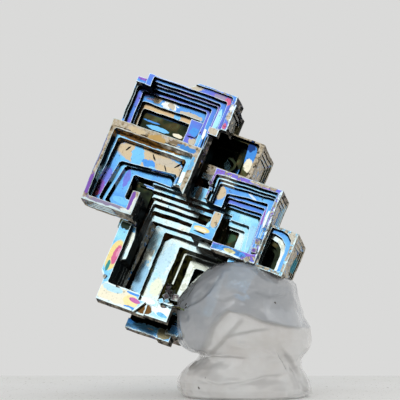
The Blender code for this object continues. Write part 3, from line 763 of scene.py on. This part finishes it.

# %% [markdown]
# A step's outer edge catches the light as a pale line, and its foot lies in the dark. Both are painted
# into the colour: a painted highlight along the outer edges and painted shade in the inner corners.
# Both follow every edge of the mesh, so they aren't drawn: the ambient occlusion node finds them.
# Looking into the metal, it finds where little metal is left, which is an edge. Looking into the air,
# it finds the corners between steps. A little grime lies over the film too, and has a fine noise of
# its own.

# %% Grime, painted edge highlights and painted shade at the feet
GRIME_NOISE = {"Scale": 2.8 * PER_MM, "Detail": 5.0, "Roughness": 0.6}
GRIME_RANGE = {"From Min": 0.55, "From Max": 0.75, "To Max": 0.26}
# The colour of the painted highlight along the steps' outer edges.
EDGE_HIGHLIGHT_COLOUR = "#DCF2F6"
# The near-black of the grime specks and of the painted shade in the inner corners.
GRIME_AND_SHADE_COLOUR = "#0C0E10"
EDGE_HIGHLIGHT_REACH = 1.1 * TENTH
# How far the painted shade reaches from each inner corner.
CORNER_SHADE_REACH = {"top": 4.2 * TENTH, "right": 2.4 * TENTH, "left": 2.4 * TENTH}
PLAIN_SHADE_REACH = 1.5 * TENTH
EDGE_HIGHLIGHT_RANGE = {"From Min": 0.86, "From Max": 0.60, "To Max": 0.9}
CORNER_SHADE_RANGE = {"From Min": 0.80, "From Max": 0.50, "To Max": 0.85}
LOOKING_IN = {"inside": True, "samples": 6, "only_local": True}
LOOKING_OUT = {"inside": False, "samples": 6, "only_local": True}


def grimy_colour(tree, lattice, colour):
    """The colour with specks of grime over it."""
    grain = add(tree, "ShaderNodeTexNoise", GRIME_NOISE, {"Vector": lattice}).outputs["Fac"]
    grime = add(tree, "ShaderNodeMapRange", GRIME_RANGE, {"Value": grain}).outputs[0]
    paint = {"data_type": "RGBA", "B": linear(GRIME_AND_SHADE_COLOUR)}
    return add(tree, "ShaderNodeMix", paint, {"Factor": grime, "A": colour}).outputs["Result"]


def with_painted_edge_highlight(tree, in_painted_shade, colour):
    """The colour with a painted highlight along the outer edges, except where the film is painted dark."""
    outside_painted_shade = add(tree, "ShaderNodeMath", {"operation": "SUBTRACT", 0: 1.0}, {1: in_painted_shade}).outputs[0]
    metal = add(tree, "ShaderNodeAmbientOcclusion", {"Distance": EDGE_HIGHLIGHT_REACH, **LOOKING_IN}).outputs["AO"]
    edge = add(tree, "ShaderNodeMapRange", EDGE_HIGHLIGHT_RANGE, {"Value": metal}).outputs[0]
    lit = add(tree, "ShaderNodeMath", {"operation": "MULTIPLY"}, {0: edge, 1: outside_painted_shade}).outputs[0]
    paint = {"data_type": "RGBA", "B": linear(EDGE_HIGHLIGHT_COLOUR)}
    return add(tree, "ShaderNodeMix", paint, {"Factor": lit, "A": colour}).outputs["Result"]


def with_painted_corner_shade(tree, crystal, colour):
    """The colour with painted shade in the inner corners, as wide as the crystal's steps call for."""
    reach = CORNER_SHADE_REACH.get(crystal, PLAIN_SHADE_REACH)
    air = add(tree, "ShaderNodeAmbientOcclusion", {"Distance": reach, **LOOKING_OUT}).outputs["AO"]
    foot = add(tree, "ShaderNodeMapRange", CORNER_SHADE_RANGE, {"Value": air}).outputs[0]
    paint = {"data_type": "RGBA", "B": linear(GRIME_AND_SHADE_COLOUR)}
    return add(tree, "ShaderNodeMix", paint, {"Factor": foot, "A": colour}).outputs["Result"]


# The widest painted shade at a step's foot.
print("widest dark foot in mm:", round(max(CORNER_SHADE_REACH.values()) / MM, 2))

# %% [markdown]
# The finish itself is bismuth under its oxide: a metal, smooth where the film is whole and rougher
# on the flakes. The flakes stand a few hundredths of a millimetre proud, and the whole film has a
# slow swell, so that its mirror image of the room wanders. Both are too shallow for the mesh, so a
# bump gives them.

# %% The oxide film
FILM_METALLIC = 0.9
FILM_GLOSS = {"To Min": 0.15, "To Max": 0.38}
SWELL_NOISE = {"Scale": 0.5 * PER_MM, "Detail": 1.0, "Roughness": 0.5}
SWELL_HEIGHT = 0.8
FILM_BUMP = {"Strength": 0.5, "Distance": 1.2 * TENTH}


def oxide_film(crystal):
    """The film of one crystal, from the metal outwards, with painted highlights and painted shade on top."""
    made, tree, shader = new_material("bismuth_oxide_film_" + crystal)
    lattice = add(tree, "ShaderNodeAttribute", {"attribute_name": "lattice"}).outputs["Vector"]
    film = add(tree, "ShaderNodeAttribute", {"attribute_name": "film"}).outputs["Fac"]
    rough = add(tree, "ShaderNodeAttribute", {"attribute_name": "rough"}).outputs["Fac"]
    colour, in_painted_shade = film_colour(tree, lattice, film)
    ragged = add(tree, "ShaderNodeTexNoise", FRAY_NOISE, {"Vector": lattice}).outputs["Fac"]
    fray = add(tree, "ShaderNodeMath", FRAY_SPREAD, {0: ragged}).outputs[0]
    colour, flake, share = torn_colour(tree, lattice, rough, colour)
    colour = marked_colour(tree, lattice, fray, crystal, colour)
    colour = grimy_colour(tree, lattice, colour)
    # A painted highlight along the outer edges, then painted shade in the inner corners.
    colour = with_painted_edge_highlight(tree, in_painted_shade, colour)
    colour = with_painted_corner_shade(tree, crystal, colour)
    tree.links.new(colour, shader.inputs["Base Color"])
    gloss = add(tree, "ShaderNodeMapRange", FILM_GLOSS, {"Value": share}).outputs[0]
    tree.links.new(gloss, shader.inputs["Roughness"])
    flake_height = add(tree, "ShaderNodeMath", {"operation": "MULTIPLY"}, {0: flake, 1: share}).outputs[0]
    swell = add(tree, "ShaderNodeTexNoise", SWELL_NOISE, {"Vector": lattice}).outputs["Fac"]
    swelling = {"operation": "MULTIPLY_ADD", 1: SWELL_HEIGHT}
    height = add(tree, "ShaderNodeMath", swelling, {0: swell, 2: flake_height}).outputs[0]
    bump = add(tree, "ShaderNodeBump", FILM_BUMP, {"Height": height}).outputs[0]
    tree.links.new(bump, shader.inputs["Normal"])
    shader.inputs["Metallic"].default_value = FILM_METALLIC
    return made


for name in CRYSTALS:
    cluster.data.materials.append(oxide_film(name))
print("film finishes:", len(cluster.data.materials))

# %% [markdown]
# The risers carry the same oxide, but they mirror each other and the pit behind them, so the eye
# reads them as nearly black with a breath of brown, olive and bottle green. The light could be left
# to find that darkness, bounce after bounce, but dark colours are quicker and less noisy. The
# specular tint keeps them dark where they are seen edge on.

# %% The dark risers
RISER_COLOURS = [(0.36, "#080807"), (0.48, "#1C160E"), (0.56, "#2A2E1C"), (0.66, "#463822")]
RISER_TINTS = [(0.0, "#0C0B09"), (0.35, "#54351E"), (0.6, "#34482A"), (0.7, "#8C8648"), (1.0, "#B07E34")]
RISER_NOISE = {"Scale": 1.3 * PER_MM, "Detail": 4.0, "Roughness": 0.6}
TINTED_RANGE = {"From Min": 0.40, "From Max": 0.58}
TARNISH_METALLIC = {"To Min": 0.9, "To Max": 0.4}
RISER_ROUGHNESS = 0.3
RISER_SPECULAR = "#3A352C"


def dark_riser():
    """The film of the risers: the more of a tint it has, the duller its tarnish."""
    made, tree, shader = new_material("dark_riser_film")
    lattice = add(tree, "ShaderNodeAttribute", {"attribute_name": "lattice"}).outputs["Vector"]
    cloud = add(tree, "ShaderNodeTexNoise", RISER_NOISE, {"Vector": lattice}).outputs["Fac"]
    tint = add(tree, "ShaderNodeAttribute", {"attribute_name": "film"}).outputs["Fac"]
    share = add(tree, "ShaderNodeMapRange", TINTED_RANGE, {"Value": cloud}).outputs[0]
    plain = add(tree, "ShaderNodeValToRGB", {"stops": RISER_COLOURS}, {"Fac": cloud}).outputs["Color"]
    tinted = add(tree, "ShaderNodeValToRGB", {"stops": RISER_TINTS}, {"Fac": tint}).outputs["Color"]
    layers = {"Factor": share, "A": plain, "B": tinted}
    colour = add(tree, "ShaderNodeMix", RGBA, layers).outputs["Result"]
    tree.links.new(colour, shader.inputs["Base Color"])
    tarnish = add(tree, "ShaderNodeMapRange", TARNISH_METALLIC, {"Value": tint}).outputs[0]
    tree.links.new(tarnish, shader.inputs["Metallic"])
    shader.inputs["Roughness"].default_value = RISER_ROUGHNESS
    shader.inputs["Specular Tint"].default_value = linear(RISER_SPECULAR)
    return made


cluster.data.materials.append(dark_riser())
print("riser tints:", len(RISER_TINTS))

# %% [markdown]
# The crust is where the crystal broke away from its neighbours. It is a dull grey-beige, rough skin
# with darker hollows and a few glints of oxide, like cast metal that was left as it came. Its larger
# pits are in the mesh. The fine grain is a noise that both colours it and raises it, so that the
# hollows are the dark places. Its film value shades it: some of the crystals kept a darker crust than
# others, and the darkest values are painted shade, on the top crystal and on the left crystal's side
# that faces its neighbours.

# %% The crust
CRUST_COLOURS = [
    (0.22, "#0D0F12"), (0.40, "#3A3630"), (0.52, "#857C6E"), (0.64, "#B5AC9C"), (0.76, "#D6D0C4"),
    (0.95, "#EAE6DC"),
]
GLINT_COLOURS = [(0.40, "#3C7C90"), (0.52, "#7C6AA8"), (0.62, "#B89A78")]
CRUST_NOISE = {"Scale": 2.0 * PER_MM, "Detail": 5.0, "Roughness": 0.62}
SHADE_SPREAD = {"operation": "MULTIPLY_ADD", 1: 0.7, 2: -0.35}
GLINT_NOISE = {"Scale": 1.3 * PER_MM, "Detail": 3.0, "Roughness": 0.5}
GLINT_RANGE = {"From Min": 0.62, "From Max": 0.68}
CRUST_BUMP = {"Strength": 0.7, "Distance": 2.5 * TENTH}
CRUST_METALLIC = 0.5
CRUST_ROUGHNESS = 0.46


def grey_crust():
    """The crust, part metal and part dull skin."""
    made, tree, shader = new_material("grey_crust")
    lattice = add(tree, "ShaderNodeAttribute", {"attribute_name": "lattice"}).outputs["Vector"]
    shade = add(tree, "ShaderNodeAttribute", {"attribute_name": "film"}).outputs["Fac"]
    grain = add(tree, "ShaderNodeTexNoise", CRUST_NOISE, {"Vector": lattice}).outputs["Fac"]
    lifted = add(tree, "ShaderNodeMath", SHADE_SPREAD, {0: shade}).outputs[0]
    value = add(tree, "ShaderNodeMath", {"operation": "ADD"}, {0: grain, 1: lifted}).outputs[0]
    skin_colour = add(tree, "ShaderNodeValToRGB", {"stops": CRUST_COLOURS}, {"Fac": value}).outputs["Color"]
    glint = add(tree, "ShaderNodeTexNoise", GLINT_NOISE, {"Vector": lattice}).outputs["Fac"]
    share = add(tree, "ShaderNodeMapRange", GLINT_RANGE, {"Value": glint}).outputs[0]
    oxide = add(tree, "ShaderNodeValToRGB", {"stops": GLINT_COLOURS}, {"Fac": grain}).outputs["Color"]
    layers = {"Factor": share, "A": skin_colour, "B": oxide}
    colour = add(tree, "ShaderNodeMix", RGBA, layers).outputs["Result"]
    tree.links.new(colour, shader.inputs["Base Color"])
    bump = add(tree, "ShaderNodeBump", CRUST_BUMP, {"Height": grain}).outputs[0]
    tree.links.new(bump, shader.inputs["Normal"])
    shader.inputs["Metallic"].default_value = CRUST_METALLIC
    shader.inputs["Roughness"].default_value = CRUST_ROUGHNESS
    return made


cluster.data.materials.append(grey_crust())
print("crystal finishes:", [material.name for material in cluster.data.materials])

# %% [markdown]
# ## The lump of tack
#
# Mineral tack is a clear, rubbery wax. Pressed by a finger it folds over itself and keeps the
# folds. It could be sculpted or grown from metaballs; here it is a lofted lump that follows the
# solid's outline, because rings of points are easy to push in and out. The crystal sinks into it.

# %% Outline of the lump
Level = namedtuple("Level", "height left right front back")
TACK_LEVELS = [
    Level(0, -6, 117, -48, 82),
    Level(3, -10, 120, -54, 88),
    Level(9, -13, 121, -58, 92),
    Level(16, -13, 119, -60, 93),
    Level(24, -9, 115, -59, 92),
    Level(31, -3, 112, -59, 92),
    Level(37, 4, 112.5, -58, 91),
    Level(41, 7, 115, -57.5, 91),
    Level(45, 2, 118, -59, 92),
    Level(51, -9, 121, -60, 93),
    Level(60, -14, 122, -64, 95),
    Level(70, -15.5, 120.5, -66, 95),
    Level(80, -15.8, 116, -66.5, 92),
    Level(90, -16, 111, -66, 88),
    Level(97, -13.5, 108.5, -65, 84),
    Level(105, -7, 107.5, -63, 78),
    Level(113, 0, 106, -60, 70),
    Level(121, 8, 97, -56, 60),
    Level(128, 17, 84, -51, 46),
    Level(133, 26, 73, -46, 32),
    Level(137, 36, 62, -38, 14),
]
TACK_SWELL = 0.035
SWELL_LOBES = 3
SWELL_TWIST = 0.35
TACK_SQUARENESS = 0.86
END_RINGS = 0.35
RING_POINTS = 260
RING_COUNT = 170

tack_low, tack_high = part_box("putty_stand")
tack_foot = Vector((lattice_origin.x, lattice_origin.y, 0))


def ring_heights():
    """The height of each ring, with more of the rings near the foot and the top."""
    share = np.linspace(0, 1, RING_COUNT)
    crowded = 0.5 - 0.5 * np.cos(pi * share)
    return TACK_LEVELS[-1].height * ((1 - END_RINGS) * share + END_RINGS * crowded)


def tack_points():
    """The lump's surface as an array of rings, in tenths of a millimetre from its foot."""
    height = ring_heights()
    heights, *sides = zip(*TACK_LEVELS)
    left, right, front, back = (np.interp(height, heights, side)[:, None] for side in sides)
    number = np.interp(height, heights, range(len(heights)))[:, None]
    turn = np.linspace(0, 2 * pi, RING_POINTS, endpoint=False)[None, :]
    along = np.abs(np.cos(turn)) ** TACK_SQUARENESS * np.sign(np.cos(turn))
    across = np.abs(np.sin(turn)) ** TACK_SQUARENESS * np.sign(np.sin(turn))
    wave = np.sin(SWELL_LOBES * turn + SWELL_TWIST * number) * np.abs(np.sin(turn))
    swell = 1 + TACK_SWELL * wave
    x = (left + right) / 2 + (right - left) / 2 * along
    y = (front + back) / 2 + (back - front) / 2 * across * swell
    return np.stack([x, y, np.broadcast_to(height[:, None], x.shape)], axis=-1)


print("rings:", RING_COUNT, "of", RING_POINTS, "points")

# %% [markdown]
# A fold is a line across the lump, drawn on its front or its back. On one side of it the wax stands
# proud and ends in a lip, and on the other it dips under the lip. Each line is a few points, across
# and up, and the push fades away from it and towards its ends. A simulation of soft wax would fold
# by itself, but not where the real lump is folded, so the folds are drawn.

# %% Folds pressed into the lump
Fold = namedtuple("Fold", "side rise reach lip line")
FOLDS = [
    Fold("front", 4.2, 16, 1.1, [
        (-6, 38), (2, 43), (12, 50), (16, 61), (20, 73), (30, 85), (38, 91), (48, 89.5), (58, 87), (73, 80),
        (101, 73), (118, 70),
    ]),
    Fold("front", 2.0, 10, 1.6, [(14, 42), (24, 52), (36, 64), (46, 75), (54, 84)]),
    Fold("front", -3.2, 12, 1.2, [(-14, 18), (-7, 30), (4, 38), (18, 43), (40, 44), (66, 42)]),
    Fold("front", 2.4, 8, 1.4, [(10, 21), (28, 17), (52, 19), (76, 25), (98, 26)]),
    Fold("front", 2.0, 8, 1.6, [(34, 64), (52, 68), (68, 71), (82, 72)]),
    Fold("front", -2.0, 9, 1.5, [(46, 56), (66, 54), (80, 49), (86, 44)]),
    Fold("front", 3.4, 8, 1.0, [(93, 52), (100, 42), (108, 26), (114, 12), (119, 2)]),
    Fold("front", -2.6, 6, 1.0, [(86, 50), (92, 40), (97, 30)]),
    Fold("front", 2.0, 9, 1.8, [(22, 104), (34, 100), (46, 106), (58, 96)]),
    Fold("front", -2.4, 10, 1.6, [(-8, 90), (8, 98), (20, 108), (26, 118)]),
    Fold("front", 2.2, 11, 1.8, [(62, 110), (80, 104), (98, 106)]),
    Fold("back", 4.0, 15, 1.1, [(-10, 64), (14, 56), (44, 66), (70, 84), (96, 88), (118, 80)]),
    Fold("back", -3.0, 12, 1.2, [(-12, 22), (20, 34), (52, 38), (86, 30), (116, 36)]),
    Fold("back", 2.2, 9, 1.5, [(20, 20), (48, 14), (78, 20), (100, 16)]),
    Fold("back", 2.0, 9, 1.6, [(30, 108), (50, 96), (70, 104), (88, 100)]),
    Fold("back", -2.0, 8, 1.6, [(36, 80), (30, 66), (34, 50)]),
]


def line_distance(x, z, line):
    """Signed distance to a line of points, and how far along it the nearest place is."""
    nearest = np.full(x.shape, 1e9)
    signed, along = np.zeros(x.shape), np.zeros(x.shape)
    for number, ((x0, z0), (x1, z1)) in enumerate(zip(line, line[1:])):
        length = (x1 - x0) ** 2 + (z1 - z0) ** 2
        share = np.clip(((x - x0) * (x1 - x0) + (z - z0) * (z1 - z0)) / length, 0, 1)
        away = np.hypot(x - x0 - share * (x1 - x0), z - z0 - share * (z1 - z0))
        side = np.sign((x1 - x0) * (z - z0) - (z1 - z0) * (x - x0))
        closer = away < nearest
        nearest = np.where(closer, away, nearest)
        signed = np.where(closer, away * side, signed)
        along = np.where(closer, (number + share) / (len(line) - 1), along)
    return signed, along


print("folds:", len(FOLDS))

# %% [markdown]
# A fold drawn on the front has to fade out round the sides, or it would cut through to the back. The
# first fold of each side is also the seam between two layers of wax: a warm one below, and above it
# a bluer one that took up a little metal dust. The mesh keeps that as a value for the finish.

# %% How the folds push, and which layer is which
ROUND_THE_SIDE = 2.2
SIDE_SHARE = 0.1
FOLD_ENDS = 6
END_SHARE = 0.15
SEAM_SOFTNESS = 3.0


def fold_push(points, facing):
    """How far each point stands out because of the folds on its side."""
    push = np.zeros(facing.shape)
    for fold in FOLDS:
        signed, along = line_distance(points[..., 0], points[..., 2], fold.line)
        towards = facing if fold.side == "back" else -facing
        weight = np.clip(ROUND_THE_SIDE * towards + SIDE_SHARE, 0, 1)
        ends = np.clip(FOLD_ENDS * np.minimum(along, 1 - along) + END_SHARE, 0, 1)
        push += fold.rise * np.tanh(signed / fold.lip) * np.exp(-np.abs(signed) / fold.reach) * weight * ends
    return push


def above_seam(points, side):
    """How far each point lies above the first fold of a side."""
    seam = next(fold for fold in FOLDS if fold.side == side)
    return line_distance(points[..., 0], points[..., 2], seam.line)[0]


def layer_of(points, facing):
    """1 in the upper, bluer layer of wax and 0 in the lower, warmer one."""
    signed = np.where(facing < 0, above_seam(points, "front"), above_seam(points, "back"))
    return np.clip(0.5 + signed / SEAM_SOFTNESS, 0, 1)


print("most that a fold stands out, in mm:", round(max(fold.rise for fold in FOLDS) / 10, 2))

# %% [markdown]
# The wax also swells and dimples, as anything that was rolled between fingers does. Two noises give
# that, one 2.2 mm wide and one 0.75 mm wide. All the pushes go straight outwards from the middle of
# the lump and fade at its foot and top, so that it stands flat and closes neatly. Last, the lump is
# kept in the box of its solid, and its surface is set in a little to make room for the folds.

# %% Shape the lump
WAX_SWELL = 2.6
WAX_SPAN = 22.0
WAX_DIMPLE = 0.8
DIMPLE_SPAN = 7.5
SET_IN = 0.8
FADE = 5.0
TACK_MIDDLE = np.array([52.0, 14.0])


def folded_points():
    """The lump's points with their folds and swells, and the layer that each belongs to."""
    points = tack_points()
    outward = points[..., :2] - TACK_MIDDLE
    outward /= np.linalg.norm(outward, axis=-1, keepdims=True)
    facing = outward[..., 1]
    push = fold_push(points, facing) - SET_IN
    for ring, pushes in zip(points, push):
        for index, point in enumerate(ring):
            pushes[index] += WAX_SWELL * noise.noise(Vector(point) / WAX_SPAN)
            pushes[index] += WAX_DIMPLE * noise.noise(Vector(point) / DIMPLE_SPAN)
    height = points[..., 2]
    fade = np.clip(np.minimum(height / FADE, (TACK_LEVELS[-1].height - height) / FADE), 0, 1)
    layer = layer_of(points, facing)
    points[..., :2] += outward * (push * fade)[..., None]
    low = (tack_low - tack_foot) / TENTH
    high = (tack_high - tack_foot) / TENTH
    return np.clip(points, [low.x, low.y, low.z], [high.x, high.y, high.z]), layer


points, layer = folded_points()
print("lump in mm:", [round(v, 2) for v in (points.max(axis=(0, 1)) - points.min(axis=(0, 1))) / 10])

# %% [markdown]
# The rings are joined by quads, and the first and last ring are closed with a face each. The lump is
# shaded smooth, as wax has no hard edges.

# %% Build the lump
def ring_faces():
    """Quads between each ring and the next, and a face over the foot and the top."""
    faces = []
    for row in range(RING_COUNT - 1):
        here, above = row * RING_POINTS, (row + 1) * RING_POINTS
        for index in range(RING_POINTS):
            after = (index + 1) % RING_POINTS
            faces.append((here + index, here + after, above + after, above + index))
    faces.append(list(range(RING_POINTS))[::-1])
    faces.append(list(range((RING_COUNT - 1) * RING_POINTS, RING_COUNT * RING_POINTS)))
    return faces


corners = [tack_foot + Vector(point) * TENTH for ring in points for point in ring]
mesh = bpy.data.meshes.new("clear_tack_lump")
mesh.from_pydata(corners, [], ring_faces())
mesh.attributes.new("layer", "FLOAT", "POINT").data.foreach_set("value", layer.ravel())
mesh.shade_smooth()
mesh.update()
tack = bpy.data.objects.new("clear_tack_lump", mesh)
bpy.context.scene.collection.objects.link(tack)
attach(tack, "root")
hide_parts("putty_stand")
print("tack points:", len(mesh.vertices))

# %% [markdown]
# Clear tack has an IOR near 1.45, like most waxes. It is cloudy inside and smeared by fingers outside,
# so light passes through it blurred. A volume would scatter the light truly but takes long to clear
# of noise, so part of the light is transmitted and part is scattered at the surface. A few specks of
# dirt stick to it. A coat gives the wet gleam on top.

# %% The tack's finish
LOWER_WAX = [(0.35, "#F0ECE8"), (0.5, "#F7F5F3"), (0.65, "#FCFCFB")]
UPPER_WAX = [(0.35, "#C4C9D0"), (0.5, "#D0D4DA"), (0.65, "#E2E4E8")]
SPECK_COLOUR = "#5A544C"
CLOUDY_NOISE = {"Scale": 0.26 / MM, "Detail": 3.0, "Roughness": 0.5}
SPECK_CELLS = {"Scale": 0.9 / MM}
SPECK_SIZE = {"operation": "LESS_THAN", 1: 0.16}
SPECK_NOISE = {"Scale": 0.42 / MM, "Detail": 1.0, "Roughness": 0.5}
SPECK_PLACES = {"operation": "GREATER_THAN", 1: 0.66}
SMEAR_NOISE = {"Scale": 0.33 / MM, "Detail": 4.0, "Roughness": 0.5}
SMEAR_GLOSS = {"To Min": 0.08, "To Max": 0.34}
SMEAR_BUMP = {"Strength": 0.35, "Distance": 2 * TENTH}
WAX_SOCKETS = {"IOR": 1.45, "Coat Weight": 0.8, "Coat Roughness": 0.1, "Transmission Weight": 0.4}


def wax_colour(tree, where):
    """The colour of the two layers of wax, with specks of dirt."""
    layer = add(tree, "ShaderNodeAttribute", {"attribute_name": "layer"}).outputs["Fac"]
    cloud = add(tree, "ShaderNodeTexNoise", CLOUDY_NOISE, {"Vector": where}).outputs["Fac"]
    lower = add(tree, "ShaderNodeValToRGB", {"stops": LOWER_WAX}, {"Fac": cloud}).outputs["Color"]
    upper = add(tree, "ShaderNodeValToRGB", {"stops": UPPER_WAX}, {"Fac": cloud}).outputs["Color"]
    wax = add(tree, "ShaderNodeMix", RGBA, {"Factor": layer, "A": lower, "B": upper}).outputs["Result"]
    cells = add(tree, "ShaderNodeTexVoronoi", SPECK_CELLS, {"Vector": where}).outputs["Distance"]
    places = add(tree, "ShaderNodeTexNoise", SPECK_NOISE, {"Vector": where}).outputs["Fac"]
    speck = add(tree, "ShaderNodeMath", SPECK_SIZE, {0: cells}).outputs[0]
    few = add(tree, "ShaderNodeMath", SPECK_PLACES, {0: places}).outputs[0]
    dirt = add(tree, "ShaderNodeMath", {"operation": "MULTIPLY"}, {0: speck, 1: few}).outputs[0]
    paint = {"data_type": "RGBA", "B": linear(SPECK_COLOUR)}
    return add(tree, "ShaderNodeMix", paint, {"Factor": dirt, "A": wax}).outputs["Result"]


def milky_tack():
    """The wax, glossy and coated, and duller where fingers smeared it."""
    made, tree, shader = new_material("milky_mineral_tack")
    where = add(tree, "ShaderNodeTexCoord").outputs["Object"]
    tree.links.new(wax_colour(tree, where), shader.inputs["Base Color"])
    smear = add(tree, "ShaderNodeTexNoise", SMEAR_NOISE, {"Vector": where}).outputs["Fac"]
    gloss = add(tree, "ShaderNodeMapRange", SMEAR_GLOSS, {"Value": smear}).outputs[0]
    tree.links.new(gloss, shader.inputs["Roughness"])
    bump = add(tree, "ShaderNodeBump", SMEAR_BUMP, {"Height": smear}).outputs[0]
    tree.links.new(bump, shader.inputs["Normal"])
    for socket, value in WAX_SOCKETS.items():
        shader.inputs[socket].default_value = value
    return made


tack.data.materials.append(milky_tack())
print("tack finish:", tack.data.materials[0].name)

# %% [markdown]
# ## The room
#
# The lump stands on a pale painted board, in a pale room that is the same all round. The board could
# be an endless sheet, but a real one ends, so it is a plain slab whose back edge is near the lump.
# Its paint is matt, with a little dust.

# %% Board
BOARD_WIDE = 150 * MM
BOARD_FRONT = -80 * MM
BOARD_BACK = 27 * MM
BOARD_THICK = 2 * MM
PAINT_COLOURS = [(0.35, "#F6F6F4"), (0.65, "#FDFDFC")]
DUST_COLOUR = "#9A948A"
DUST_NOISE = {"Scale": 2.6 / MM, "Detail": 2.0, "Roughness": 0.5}
DUST_RANGE = {"From Min": 0.66, "From Max": 0.72}
PAINT_NOISE = {"Scale": 0.06 / MM, "Detail": 3.0, "Roughness": 0.5}
PAINT_ROUGHNESS = 0.7


def painted_board():
    """Matt paint with a little dust."""
    made, tree, shader = new_material("pale_painted_board")
    where = add(tree, "ShaderNodeTexCoord").outputs["Object"]
    speck = add(tree, "ShaderNodeTexNoise", DUST_NOISE, {"Vector": where}).outputs["Fac"]
    dust = add(tree, "ShaderNodeMapRange", DUST_RANGE, {"Value": speck}).outputs[0]
    cloud = add(tree, "ShaderNodeTexNoise", PAINT_NOISE, {"Vector": where}).outputs["Fac"]
    paint = add(tree, "ShaderNodeValToRGB", {"stops": PAINT_COLOURS}, {"Fac": cloud}).outputs["Color"]
    speckled = {"data_type": "RGBA", "B": linear(DUST_COLOUR)}
    colour = add(tree, "ShaderNodeMix", speckled, {"Factor": dust, "A": paint}).outputs["Result"]
    tree.links.new(colour, shader.inputs["Base Color"])
    shader.inputs["Roughness"].default_value = PAINT_ROUGHNESS
    return made


bpy.ops.mesh.primitive_cube_add(size=1)
board = bpy.context.object
board.name = "board"
board.scale = (BOARD_WIDE, BOARD_BACK - BOARD_FRONT, BOARD_THICK)
board.location = (0, (BOARD_BACK + BOARD_FRONT) / 2, -BOARD_THICK / 2)
bpy.ops.object.transform_apply(scale=True)
board.data.materials.append(painted_board())
print("board in mm:", [round(v / MM) for v in board.dimensions])

# %% [markdown]
# A mirror needs something to mirror. The even room gives the terraces their full colour, and two
# large soft lamps give them their gleam: one high in front, which the terraces mirror, and a weaker
# one from the right. An image of a real room would do as well, but it couldn't be placed as freely.

# %% Room and lamps
ROOM_COLOUR = "#DADAD9"
ROOM_STRENGTH = 1.0
HIGH_LAMP_PLACE = Vector((-82, -227, 197)) * MM
HIGH_LAMP_SIZE = 170 * MM
HIGH_LAMP_WATTS = 0.06
RIGHT_LAMP_PLACE = Vector((250, -80, 100)) * MM
RIGHT_LAMP_SIZE = 120 * MM
RIGHT_LAMP_WATTS = 0.03

world = bpy.data.worlds.new("pale_room")
bpy.context.scene.world = world
world.use_nodes = True
room = world.node_tree.nodes["Background"]
room.inputs["Color"].default_value = linear(ROOM_COLOUR)
room.inputs["Strength"].default_value = ROOM_STRENGTH


def soft_lamp(name, place, size, power):
    """A square soft lamp that looks at the middle of the crystal."""
    light = bpy.data.lights.new(name, "AREA")
    light.size = size
    light.energy = power
    lamp = bpy.data.objects.new(name, light)
    bpy.context.scene.collection.objects.link(lamp)
    lamp.location = place
    lamp.rotation_euler = (lattice_origin - place).to_track_quat("-Z", "Y").to_euler()
    return lamp


lamps = [
    soft_lamp("high_front_lamp", HIGH_LAMP_PLACE, HIGH_LAMP_SIZE, HIGH_LAMP_WATTS),
    soft_lamp("right_lamp", RIGHT_LAMP_PLACE, RIGHT_LAMP_SIZE, RIGHT_LAMP_WATTS),
]
print("lamps:", [lamp.name for lamp in lamps])

# %% [markdown]
# The camera is a long lens almost level with the crystal, which keeps the lattice's parallel lines
# parallel. A parallel projection would too, but then nearer steps would look no larger at all.

# %% Camera
FIELD = 40 * MM
LENS = 900.0
SENSOR = 36.0
CAMERA_RISE = radians(3.0)
AIM_RIGHT = 1.0 * MM
AIM_UP = 0.5 * MM
NEAREST = 10 * MM
FARTHEST = 5000 * MM

lens = bpy.data.cameras.new("long_lens")
lens.lens = LENS
lens.sensor_width = SENSOR
lens.clip_start = NEAREST
lens.clip_end = FARTHEST
camera = bpy.data.objects.new("long_lens", lens)
bpy.context.scene.collection.objects.link(camera)
bpy.context.scene.camera = camera
looking = Vector((0, cos(CAMERA_RISE), -sin(CAMERA_RISE)))
upwards = Vector((0, sin(CAMERA_RISE), cos(CAMERA_RISE)))
aim = lattice_origin + Vector((AIM_RIGHT, 0, 0)) + upwards * AIM_UP
distance = FIELD * LENS / SENSOR
camera.location = aim - looking * distance
camera.rotation_euler = looking.to_track_quat("-Z", "Y").to_euler()
bpy.context.scene.view_settings.view_transform = "Standard"
print("camera distance in mm:", round(distance / MM, 1))
